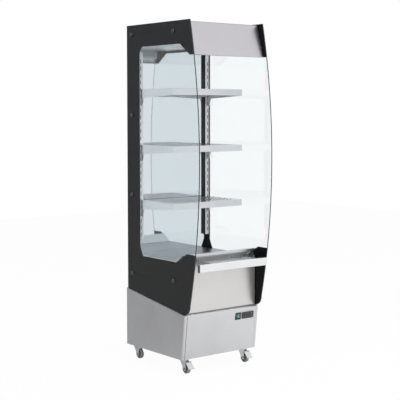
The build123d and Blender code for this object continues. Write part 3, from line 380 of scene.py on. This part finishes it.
# %% Polished back
haze_per_metre = 3.0
sharpest, haziest = 0.02, 0.05
mirror_steel, tree = new_material("polished_stainless_back")
place = add(tree, "ShaderNodeTexCoord").outputs["Object"]
haze = add(tree, "ShaderNodeTexNoise", {"Vector": place, "Scale": haze_per_metre, "Detail": 3.0})
tone = add(tree, "ShaderNodeMix", {
    "Factor": haze.outputs["Fac"], "A": linear("#DADFE4"), "B": linear("#E1E5E9")}, data_type="RGBA")
rough = add(tree, "ShaderNodeMapRange", {
    "Value": haze.outputs["Fac"], "To Min": sharpest, "To Max": haziest})
polish = add(tree, "ShaderNodeBsdfPrincipled", {
    "Base Color": tone.outputs["Result"], "Metallic": 1.0, "Roughness": rough.outputs[0]})
add(tree, "ShaderNodeOutputMaterial", {"Surface": polish.outputs[0]})
print(mirror_steel.name, "roughness", sharpest, "to", haziest)

# %% [markdown]
# ## Glass and its black border
#
# Toughened glass is clear with a faint green tint, which grows dark where one looks along the sheet
# at its ground edge. Lamps have to shine through it, so rays that only ask whether a lamp is hidden
# pass through a tinted film instead.

# %% Glass
glass_ior = 1.5
glass_tint = linear("#F8FCFD")
clear_glass, tree = new_material("toughened_glass")
pane = add(tree, "ShaderNodeBsdfPrincipled", {
    "Base Color": glass_tint, "Roughness": 0.0, "IOR": glass_ior, "Transmission Weight": 1.0})
film = add(tree, "ShaderNodeBsdfTransparent", {"Color": glass_tint})
path = add(tree, "ShaderNodeLightPath")
mixed = add(tree, "ShaderNodeMixShader", {
    "Fac": path.outputs["Is Shadow Ray"], 1: pane.outputs[0], 2: film.outputs[0]})
add(tree, "ShaderNodeOutputMaterial", {"Surface": mixed.outputs[0]})
ground_edge = grained("ground_glass_edge", "#16323A", "#0E262E", 0.2, 1.0, coat=0.2)
print(clear_glass.name, "IOR", glass_ior)

# %% [markdown]
# ## Enamel
#
# The black border is enamel that was printed on the glass and fired. It is even and very dark, and
# because glass covers it, it has little gloss of its own: the shine that one sees is the glass's.

# %% Enamel
ripple_per_metre = 40.0
enamel_smooth, enamel_rough = 0.28, 0.36
enamel_gloss = 0.12
enamel, tree = new_material("fired_black_enamel")
place = add(tree, "ShaderNodeTexCoord").outputs["Object"]
ripple = add(tree, "ShaderNodeTexNoise", {"Vector": place, "Scale": ripple_per_metre, "Detail": 2.0})
tone = add(tree, "ShaderNodeMix", {
    "Factor": ripple.outputs["Fac"], "A": linear("#040406"), "B": linear("#0A0A0D")}, data_type="RGBA")
rough = add(tree, "ShaderNodeMapRange", {
    "Value": ripple.outputs["Fac"], "To Min": enamel_smooth, "To Max": enamel_rough})
fired = add(tree, "ShaderNodeBsdfPrincipled", {
    "Base Color": tone.outputs["Result"], "Roughness": rough.outputs[0], "Specular IOR Level": enamel_gloss})
add(tree, "ShaderNodeOutputMaterial", {"Surface": fired.outputs[0]})
print(enamel.name, "gloss", enamel_gloss)

# %% [markdown]
# ## Which part gets which finish
#
# Every part belongs to a group that is made of one material. A table from group to finish dresses
# all of them at once, and a part that needs more than that gets it further down.

# %% Finish of each group of parts
finishes = {
    "stainless_base": base_steel, "galvanised_steel": zinc_sheet, "service_steel": service_steel,
    "glass": clear_glass, "black_print": enamel, "black_nylon": black_nylon,
    "clear_nylon": natural_nylon, "mirror": mirror_steel, "stainless_header": header_steel,
    "stainless_liner": liner_steel, "white_paint": stove_enamel, "opal_plastic": opal,
    "stainless_fascia": fascia_steel, "grille_steel": grille_steel, "polished_bar": polished_steel,
    "bar_caps": cap_plastic, "white_standard": white_coat, "shelf_steel": shelf_steel,
    "fan_plastic": black_plastic, "heater_steel": heater_alloy, "switch_black": black_plastic,
    "rocker_green": rocker_plastic, "controller_grey": controller_plastic, "smoked_window": smoked,
    "button_grey": button_rubber, "castor_zinc": zinc_plate, "castor_chrome": chrome,
    "wheel_grey": tyre_rubber}
slot_of = {part["node"]: part["material_slot"] for part in frame["record"]["subparts"]}
for name, part in parts.items():
    part.data.materials.clear()
    part.data.materials.append(finishes[slot_of[name]])
print("Finished", len(parts), "parts with", len(finishes), "materials")

# %% [markdown]
# ## Tools for new pieces
#
# A new piece often starts as a copy of a solid, whose loose triangles are first welded together.
# Then its edges are softened, its place is fixed in its mesh, and it is tied to the body that it
# moves with. An operator acts on all that is selected, so each tool first selects its own piece.

# %% Helpers for new pieces
weld_distance = 0.001 * MM
fold_angle = radians(30)


def deselect():
    """Leave nothing selected, so that an operator touches only what comes next."""
    for thing in bpy.context.selected_objects:
        thing.select_set(False)


def work_on(piece):
    """Select one piece and make it active."""
    deselect()
    piece.select_set(True)
    bpy.context.view_layer.objects.active = piece


def copy_of(node, name):
    """A welded copy of a part's mesh as a new piece."""
    piece = bpy.data.objects.new(name, parts[node].data.copy())
    bpy.context.scene.collection.objects.link(piece)
    work_on(piece)
    bpy.ops.object.mode_set(mode="EDIT")
    bpy.ops.mesh.select_all(action="SELECT")
    bpy.ops.mesh.remove_doubles(threshold=weld_distance)
    bpy.ops.mesh.tris_convert_to_quads()
    bpy.ops.mesh.normals_make_consistent(inside=False)
    bpy.ops.object.mode_set(mode="OBJECT")
    bpy.ops.mesh.customdata_custom_splitnormals_clear()
    bpy.ops.object.shade_flat()
    return piece


def apply_modifier(piece, name, kind, **settings):
    """Add a modifier with its settings and apply it."""
    work_on(piece)
    modifier = piece.modifiers.new(name, kind)
    for key, value in settings.items():
        setattr(modifier, key, value)
    bpy.ops.object.modifier_apply(modifier=modifier.name)


def soften(piece, width, segments=2):
    """Round a piece's sharp edges a little, and keep its flat faces flat to the eye."""
    work_on(piece)
    bpy.ops.object.shade_smooth_by_angle(angle=fold_angle)
    apply_modifier(piece, "bevel", "BEVEL", width=width, segments=segments, limit_method="ANGLE",
                   harden_normals=True)


def settle(piece, body, slot_name, *coats):
    """Fix a piece's place in its mesh, finish it and let it ride on a body."""
    work_on(piece)
    bpy.ops.object.transform_apply(location=True, rotation=True, scale=True)
    piece.data.materials.clear()
    for coat in coats:
        piece.data.materials.append(coat)
    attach(piece, body)


def pick(piece, kind, wanted):
    """Select only the faces or edges of a piece that a test wants, ready for edit mode."""
    work_on(piece)
    mesh = piece.data
    for group in (mesh.vertices, mesh.edges, mesh.polygons):
        group.foreach_set("select", [False] * len(group))
    chosen = 0
    for item in getattr(mesh, kind):
        if wanted(item):
            item.select = True
            chosen += 1
    bpy.ops.object.mode_set(mode="EDIT")
    bpy.ops.mesh.select_mode(type="FACE" if kind == "polygons" else "EDGE")
    return chosen


# %% [markdown]
# ## Glass sides with ground edges
#
# The solid glass is right in shape. Its copy gets a fine chamfer all round, as a glazier grinds it,
# and a darker finish on the edges, which are told from the panes by the way they face.

# %% Glass sides
glass_chamfer = 0.6 * MM
square_on = 0.99
for side in ("left", "right"):
    pane = copy_of(f"glass_{side}", f"pane_{side}")
    apply_modifier(pane, "chamfer", "BEVEL", width=glass_chamfer, segments=1, limit_method="ANGLE")
    settle(pane, "cabinet", "glass", clear_glass, ground_edge)
    for face in pane.data.polygons:
        face.material_index = 0 if abs(face.normal.x) > square_on else 1
    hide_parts(f"glass_{side}")
    print(pane.name, len(pane.data.polygons), "faces")

# %% [markdown]
# ## The border's hold on the glass
#
# Fired enamel is one with the glass, with no air between. Two faces in the same place would leave a
# mottled surface, so the border's outer face is set a hair's breadth into the pane. Only the front
# of the glass mirrors then, and the black stays deep.

# %% Printed border
print_depth = 0.05 * MM
pane_inner_face = 228 * MM
border = copy_of("glass_prints", "printed_border")
for side in (-1, 1):
    count = pick(border, "polygons", lambda face: (
        face.normal.x * side > square_on and face.center.x * side > pane_inner_face - print_depth))
    bpy.ops.transform.translate(value=(side * print_depth, 0, 0))
    bpy.ops.object.mode_set(mode="OBJECT")
    print("Printed faces on side", side, ":", count)
settle(border, "cabinet", "black_print", enamel)
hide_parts("glass_prints")

# %% [markdown]
# ## Folded and moulded edges
#
# No real edge is perfectly sharp. A fold in thin sheet has a radius of about its own thickness, and
# a moulding or a cut edge is rounded a few tenths of a millimetre. Such an edge catches a thin line
# of light, and without it a part looks cut from paper. Each of these parts is copied and its sharp
# edges get a small bevel, wider on folds and mouldings than on cut sheet.

# %% Softened edges, widths in millimetres
edge_widths = {
    "header_fascia": 1.2, "top_panel": 0.8, "fascia_panel": 1.2, "base_front_panel": 0.5,
    "base_sides": 0.4, "deck_pan": 0.5, "intake_grille": 0.3, "bumper_bar": 0.8, "bar_end_caps": 1.0,
    "bar_arms": 1.0, "standards": 0.4, "lamp_housing": 1.0, "lamp_diffuser": 2.0,
    "ceiling_panel": 0.5, "controller_case": 0.5, "switch_bezel": 0.8, "service_cover": 0.4,
    "terminal_box": 1.0, "castor_mounts": 0.4}
for node, width in edge_widths.items():
    piece = copy_of(node, f"{node}_softened")
    soften(piece, width * MM)
    settle(piece, "cabinet", slot_of[node], finishes[slot_of[node]])
    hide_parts(node)
print("Softened", len(edge_widths), "parts")

# %% [markdown]
# ## Parts with two finishes
#
# The deck's floor is ground steel in a darker grey, a painted shade for the bottom of the case under
# the shelves, while its rounded nose stays bright. The slotted standards are painted white in front
# and dark grey on their sides and inside. Inside the channel the dark grey is painted shade, so that
# every slot shows as a dark dash.

# %% Deck and standards
facing = 0.9
nose_height = 10 * MM
post_skin = 0.6 * MM
post_facing = 0.3
deck = bpy.data.objects["deck_pan_softened"]
deck.data.materials.append(deck_floor_shade)
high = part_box("deck_pan")[1]
# Up-facing faces below the nose get the darker grey, a painted shade.
for face in deck.data.polygons:
    level = face.normal.z > facing and face.center.z < high[2] - nose_height
    face.material_index = 1 if level else 0
posts = bpy.data.objects["standards_softened"]
posts.data.materials.append(dark_sides_and_shade)
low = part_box("standards")[0]
# The front stays white. The sides and the inside get the dark grey, which is painted shade where it lies
# behind the slots.
for face in posts.data.polygons:
    in_front = face.center.y < low[1] + post_skin and face.normal.y < -post_facing
    face.material_index = 0 if in_front else 1
print("Dull deck faces:", sum(face.material_index for face in deck.data.polygons))

# %% [markdown]
# ## Domed cap screws
#
# The glass hangs on screws with wide black plastic caps. The solids have the cap with a plain
# chamfer. Here the screws are kept, cut off at the glass, and each gets a new cap. To know where
# the caps go, the corners on the outer face of each old one are gathered into a ring.

# %% Where the caps sit
cap_face = 240 * MM
glass_face = 234 * MM
face_depth = 0.1 * MM
cap_reach = 25 * MM
cap_rings = []
for corner in parts["cap_screws"].data.vertices:
    side = 1 if corner.co.x > 0 else -1
    if side * corner.co.x < cap_face - face_depth:
        continue
    spot = corner.co.yz.copy()
    for ring_side, ring in cap_rings:
        if ring_side == side and (spot - ring[0]).length < cap_reach:
            ring.append(spot)
            break
    else:
        cap_rings.append((side, [spot]))
print(len(cap_rings), "caps")

# %% [markdown]
# ## Tools for small hardware
#
# Caps, screws and marks all start as a short prism or a box. The outer edges are then bevelled,
# the finished piece is copied wherever it is needed, and the copies are joined into one piece.

# %% Helpers for hardware
def prism(corners, radius, length, turn):
    """A prism round the origin, turned from upright by an angle about each axis."""
    deselect()
    bpy.ops.mesh.primitive_cylinder_add(vertices=corners, radius=radius, depth=length, rotation=turn)
    bpy.ops.object.transform_apply(location=False, rotation=True, scale=False)
    return bpy.context.object


def box(middle, size):
    """A box of a given size round a point."""
    deselect()
    bpy.ops.mesh.primitive_cube_add(size=1, location=middle, scale=size)
    bpy.ops.object.transform_apply(location=True, rotation=False, scale=True)
    return bpy.context.object


def round_edges(piece, wanted, width, segments=2, profile=0.5):
    """Bevel only the edges whose two ends pass a test."""
    corners = piece.data.vertices
    pick(piece, "edges", lambda edge: wanted(*(corners[v].co for v in edge.vertices)))
    bpy.ops.mesh.bevel(offset=width, segments=segments, profile=profile)
    bpy.ops.object.mode_set(mode="OBJECT")


def twin(piece, place, turn=0):
    """A copy of a piece with its own mesh, moved to a place and turned about z."""
    copy = piece.copy()
    copy.data = piece.data.copy()
    bpy.context.scene.collection.objects.link(copy)
    copy.location = place
    copy.rotation_euler.z = turn
    return copy


def join(pieces):
    """Join pieces into the first of them."""
    work_on(pieces[0])
    for piece in pieces[1:]:
        piece.select_set(True)
    bpy.ops.object.join()
    return pieces[0]


# %% [markdown]
# ## The domes
#
# A moulded cap is a shallow dome with a short straight rim. It is made from a short cylinder whose
# outer rim is bevelled in several steps, over three quarters of its height. The many small faces
# give it one small bright reflection. One dome is made and copied to every screw.

# %% Domed caps
cap_radius = 11.5 * MM
cap_height = cap_face - glass_face
cap_corners = 32
dome_share = 0.75
dome_steps = 5
dome_profile = 0.6
dome_shading = radians(40)
cap_seam = 0.05 * MM
dome = prism(cap_corners, cap_radius, cap_height, (0, radians(90), 0))
round_edges(dome, lambda a, b: min(a.x, b.x) > cap_height / 2 - face_depth,
            cap_height * dome_share, dome_steps, dome_profile)
caps = copy_of("cap_screws", "domed_caps")
bpy.ops.object.mode_set(mode="EDIT")
for side in (-1, 1):
    bpy.ops.mesh.select_all(action="SELECT")
    bpy.ops.mesh.bisect(plane_co=(side * (glass_face + cap_seam), 0, 0), plane_no=(side, 0, 0),
                        clear_outer=True, use_fill=True)
bpy.ops.object.mode_set(mode="OBJECT")
domes = []
for side, ring in cap_rings:
    y, z = ((min(spot[i] for spot in ring) + max(spot[i] for spot in ring)) / 2 for i in (0, 1))
    domes.append(twin(dome, (side * (cap_face - cap_height / 2), y, z), 0 if side > 0 else radians(180)))
bpy.data.objects.remove(dome)
join([caps] + domes)
settle(caps, "cabinet", slot_of["cap_screws"], black_nylon)
bpy.ops.object.shade_smooth_by_angle(angle=dome_shading)
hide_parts("cap_screws")
print("Caps and screws:", len(caps.data.polygons), "faces")

# %% [markdown]
# ## Shelves with slanting slots
#
# Each shelf is a tray of folded sheet with rows of slots at 45 degrees, which let the warm air rise.
# The solids have fewer slots, to stay light. Here the tray keeps its flanges and gets a new top.
# One slot is modelled, repeated by two arrays and cut out by a Boolean, just as a punching machine
# repeats one tool. A row is two slots deep in pitch, so that the slots line up across the shelf in
# long slanting lines.

# %% Sizes of a shelf
shelf_sheet = 1.5 * MM
slot_width = 8 * MM
slot_length = 59 * MM
slot_pitch = 24 * MM
row_pitch = 48 * MM
slot_border = 20 * MM
slot_slant = radians(45)
slot_end_share = 0.49
rear_lip = 34 * MM
lip_end_gap = 16 * MM
lip_edge = 0.5 * MM
top_edge = 1.2 * MM
seam = 0.05 * MM
top_thickness = shelf_sheet + seam
print("Slots", round(slot_width / MM), "by", round(slot_length / MM), "mm")


# %% Tools for a shelf
def slot_tool(columns, rows, middle):
    """All the slots of a shelf as one cutting tool, taller than the sheet is thick."""
    height = 4 * top_thickness
    tool = box((0, 0, 0), (slot_length, slot_width, height))
    round_edges(tool, lambda a, b: abs(a.z - b.z) > height / 2, slot_width * slot_end_share)
    tool.rotation_euler.z = slot_slant
    bpy.ops.object.transform_apply(location=False, rotation=True, scale=False)
    for name, count, step in (("columns", columns, (slot_pitch, 0, 0)), ("rows", rows, (0, row_pitch, 0))):
        apply_modifier(tool, name, "ARRAY", count=count, use_relative_offset=False,
                       use_constant_offset=True, constant_offset_displace=step)
    tool.location = (middle[0] - (columns - 1) / 2 * slot_pitch, middle[1] - (rows - 1) / 2 * row_pitch,
                     middle[2])
    bpy.ops.object.transform_apply(location=True, rotation=False, scale=False)
    return tool


def slotted_top(middle, width, depth):
    """A shelf's flat top with its slots cut, and how many there are."""
    upper_face = middle[2] + top_thickness / 2
    top = box(middle, (width, depth, top_thickness))
    round_edges(top, lambda a, b: min(a.z, b.z) > upper_face - seam, top_edge)
    columns = int((width - 2 * slot_border) / slot_pitch)
    rows = int((depth - slot_border) / row_pitch)
    tool = slot_tool(columns, rows, middle)
    apply_modifier(top, "slots", "BOOLEAN", operation="DIFFERENCE", object=tool, solver="EXACT")
    bpy.data.objects.remove(tool)
    return top, columns * rows


def rear_fold(middle_x, rear, upper_face, width):
    """The lip that is folded down along a shelf's rear edge."""
    lip = box((middle_x, rear - shelf_sheet, upper_face - top_thickness - rear_lip / 2),
              (width - 2 * lip_end_gap, shelf_sheet, rear_lip))
    round_edges(lip, lambda a, b: max(a.z, b.z) < upper_face - rear_lip, lip_edge)
    return lip


# %% [markdown]
# ## Putting a shelf together
#
# The old tray is cut off just under its top, and the new top and the rear lip are joined to it. The
# slots' cut walls and the underside are dark grey, partly the duller mill finish and mostly painted
# shade: these are the faces away from the rim that don't look up.

# %% Shelves
upward = 0.5
for place in ("upper", "middle", "lower"):
    node = f"shelf_{place}"
    low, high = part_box(node)
    width, depth = high[0] - low[0], high[1] - low[1]
    middle = ((low[0] + high[0]) / 2, (low[1] + high[1]) / 2, high[2] - top_thickness / 2)
    tray = copy_of(node, f"{node}_tray")
    bpy.ops.object.mode_set(mode="EDIT")
    bpy.ops.mesh.select_all(action="SELECT")
    bpy.ops.mesh.bisect(plane_co=(0, 0, high[2] - shelf_sheet - seam), plane_no=(0, 0, 1),
                        clear_outer=True, use_fill=True)
    bpy.ops.object.mode_set(mode="OBJECT")
    top, slots = slotted_top(middle, width, depth)
    lip = rear_fold(middle[0], high[1], high[2], width)
    join([tray, top, lip])
    settle(tray, f"{place}_shelf", slot_of[node], shelf_steel, mill_grey_and_shade)
    inner_x, inner_y = width / 2 - 2 * shelf_sheet, depth / 2 - 2 * shelf_sheet
    # Faces inside the rim that don't look up get the dark grey, mostly painted shade.
    for face in tray.data.polygons:
        centre = face.center
        inside = abs(centre.x - middle[0]) < inner_x and abs(centre.y - middle[1]) < inner_y
        looks_up = face.normal.z >= upward
        on_rim = centre.z <= low[2] + seam
        face.material_index = 1 if inside and not looks_up and not on_rim else 0
    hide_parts(node)
    print(node, slots, "slots,", len(tray.data.polygons), "faces")

# %% [markdown]
# ## Screws in the rear duct
#
# The back of the air duct is a plain galvanised sheet, held on each side by a column of hexagon
# screws with a washer face. One screw is made from a six-sided and a round primitive with their
# outer edges bevelled, and is then copied up both sides.

# %% Duct screws
screw_columns = 218 * MM
screw_rows = 5
screw_margin = 50 * MM
screw_edge_share = 0.25
washer_radius, washer_corners, washer_height = 5 * MM, 24, 0.8 * MM
head_radius, head_corners, head_height = 3.6 * MM, 6, 2.2 * MM
low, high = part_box("rear_duct")
screw_parts = []
for corners, radius, start, height in (
        (washer_corners, washer_radius, 0, washer_height),
        (head_corners, head_radius, washer_height, head_height)):
    part = prism(corners, radius, height, (radians(90), 0, 0))
    round_edges(part, lambda a, b: min(a.y, b.y) > 0, height * screw_edge_share)
    part.location.y = high[1] + start + height / 2
    bpy.ops.object.transform_apply(location=True, rotation=False, scale=False)
    screw_parts.append(part)
screw = join(screw_parts)
row_step = (high[2] - low[2] - 2 * screw_margin) / (screw_rows - 1)
screws = [twin(screw, (side * screw_columns, 0, low[2] + screw_margin + row * row_step))
          for side in (-1, 1) for row in range(screw_rows)]
bpy.data.objects.remove(screw)
duct_screws = join(screws)
duct_screws.name = "duct_screws"
settle(duct_screws, "cabinet", "galvanised_steel", zinc_plate)
print("Duct screws:", 2 * screw_rows)

# %% [markdown]
# ## Castors
#
# A light castor has a bright chromed fork of pressed sheet and a wheel with a soft tyre moulded
# round a harder hub. The wheel's faces are told apart by how far they lie from the axle.

# %% Wheels, forks and pedals
tyre_inner = 19.5 * MM
wheel_edge, fork_edge, pedal_edge = 0.8 * MM, 0.4 * MM, 0.6 * MM
for place in ("front_left", "front_right", "rear_left", "rear_right"):
    wheel = copy_of(f"wheel_{place}", f"{place}_tyre_and_hub")
    soften(wheel, wheel_edge)
    settle(wheel, f"{place}_wheel", slot_of[f"wheel_{place}"], tyre_rubber, hub_plastic)
    low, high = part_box(f"wheel_{place}")
    axle_y, axle_z = (low[1] + high[1]) / 2, (low[2] + high[2]) / 2
    for face in wheel.data.polygons:
        from_axle = ((face.center.y - axle_y) ** 2 + (face.center.z - axle_z) ** 2) ** 0.5
        face.material_index = 0 if from_axle > tyre_inner else 1
    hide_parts(f"wheel_{place}")
    fork = copy_of(f"fork_{place}", f"{place}_fork_softened")
    soften(fork, fork_edge)
    settle(fork, f"{place}_fork", slot_of[f"fork_{place}"], chrome)
    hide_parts(f"fork_{place}")
for place in ("front_left", "front_right"):
    pedal = copy_of(f"brake_pedal_{place}", f"{place}_pedal_softened")
    soften(pedal, pedal_edge)
    settle(pedal, f"{place}_brake", slot_of[f"brake_pedal_{place}"], chrome)
    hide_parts(f"brake_pedal_{place}")
print("Castors done")

# %% [markdown]
# ## Marks on the switch and the controller
#
# The rocker carries the two usual marks, a bar for on and a ring for off. The front of the base
# leans, so each mark is made flat and then laid on the face it belongs to, whose middle and slope
# are read from the part.

# %% Where the marks go
face_layer = 4 * MM


def leaning_face(node, wanted=lambda face: True):
    """Middle and slope of the forward faces of a part, weighted by area."""
    faces = [f for f in parts[node].data.polygons if f.normal.y < -facing and wanted(f)]
    foremost = min(f.center.y for f in faces)
    faces = [f for f in faces if f.center.y < foremost + face_layer]
    total = sum(f.area for f in faces)
    middle = sum((f.center * f.area for f in faces), Vector()) / total
    normal = sum((f.normal * f.area for f in faces), Vector()).normalized()
    return middle, asin(-normal.z)


def lay_on(piece, middle, slope, across=0, up=0):
    """Turn a mark by a face's slope and move it there, so far across and up the face."""
    piece.rotation_euler.x = slope
    piece.location = middle + Vector((across, up * sin(slope), up * cos(slope)))


# %% Marks on the rocker
mark_depth = 0.3 * MM
mark_edge = 0.05 * MM
bar_width, bar_height = 1.2 * MM, 6 * MM
ring_radius, ring_line, ring_flatness = 2.8 * MM, 0.6 * MM, 0.3
low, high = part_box("switch_rocker")
half_way = (low[2] + high[2]) / 2
for name, upper in (("on_mark", True), ("off_mark", False)):
    middle, slope = leaning_face("switch_rocker", lambda f: (f.center.z > half_way) == upper)
    if upper:
        mark = box((0, 0, 0), (bar_width, mark_depth, bar_height))
    else:
        deselect()
        bpy.ops.mesh.primitive_torus_add(major_radius=ring_radius, minor_radius=ring_line,
                                         major_segments=24, minor_segments=6, rotation=(radians(90), 0, 0))
        mark = bpy.context.object
        bpy.ops.object.transform_apply(location=False, rotation=True, scale=True)
        mark.scale.y = ring_flatness
        bpy.ops.object.transform_apply(location=False, rotation=False, scale=True)
    mark.name = name
    lay_on(mark, middle, slope)
    soften(mark, mark_edge, 1)
    settle(mark, "rocker", "rocker_green", mark_paint)
    print(name, "at", [round(v, 4) for v in middle], "slope", round(degrees(slope), 1))

# %% [markdown]
# ## The temperature display
#
# The controller shows a two-figure temperature in seven segments each. A segment is a thin bar with
# tapered ends. It is made once for every lit place: the table gives its place in steps of half a
# figure's width and of a segment's length, and whether it lies flat or stands.

# %% Figures on the display
figure_glow = grained("red_display_segment", "#C8412F", "#B93A2A", 0.4, 1.0)
segment_length = 5.0 * MM
segment_width = 1.0 * MM
segment_depth = 0.2 * MM
segment_taper = 0.3
figure_pitch = 9.0 * MM
segments = {"top": (0, 1, True), "middle": (0, 0, True), "bottom": (0, -1, True),
            "upper_left": (-1, 0.5, False), "upper_right": (1, 0.5, False),
            "lower_left": (-1, -0.5, False), "lower_right": (1, -0.5, False)}
lit = {"6": ("top", "middle", "bottom", "upper_left", "lower_left", "lower_right"),
       "5": ("top", "middle", "bottom", "upper_left", "lower_right")}
middle, slope = leaning_face("controller_window")
bars = []
for place, figure in enumerate("65"):
    for segment in lit[figure]:
        right, up, lying = segments[segment]
        bar = box((0, 0, 0), (segment_length, segment_depth, segment_width))
        pick(bar, "polygons", lambda face: abs(face.normal.x) > facing)
        bpy.ops.transform.resize(value=(1, 1, segment_taper))
        bpy.ops.object.mode_set(mode="OBJECT")
        if not lying:
            bar.rotation_euler.y = radians(90)
            bpy.ops.object.transform_apply(location=False, rotation=True, scale=False)
        across = (place - 0.5) * figure_pitch + right * segment_length / 2
        lay_on(bar, middle, slope, across, up * segment_length)
        bars.append(bar)
display = join(bars)
display.name = "display_figures"
settle(display, "cabinet", "smoked_window", figure_glow)
print("Display figures:", len(bars), "segments")

# %% [markdown]
# ## Arrows on the buttons
#
# Two of the controller's buttons carry an arrow, for a higher and a lower temperature. A prism with
# three corners is an arrowhead already. The corner furthest from its middle height is the tip, and
# an arrow whose tip points the wrong way is turned over.

# %% Arrows on the controller's buttons
arrow_radius = 1.8 * MM
for name, node, body, points_up in (("up_arrow", "button_up", "up_button", True),
                                    ("down_arrow", "button_down", "down_button", False)):
    middle, slope = leaning_face(node)
    arrow = prism(3, arrow_radius, mark_depth, (radians(90), 0, 0))
    arrow.name = name
    tip = max((corner.co.z for corner in arrow.data.vertices), key=abs)
    arrow.rotation_euler.y = 0 if (tip > 0) == points_up else radians(180)
    bpy.ops.object.transform_apply(location=False, rotation=True, scale=False)
    lay_on(arrow, middle, slope)
    soften(arrow, mark_edge, 1)
    settle(arrow, body, "button_grey", mark_paint)
print("Arrows done")
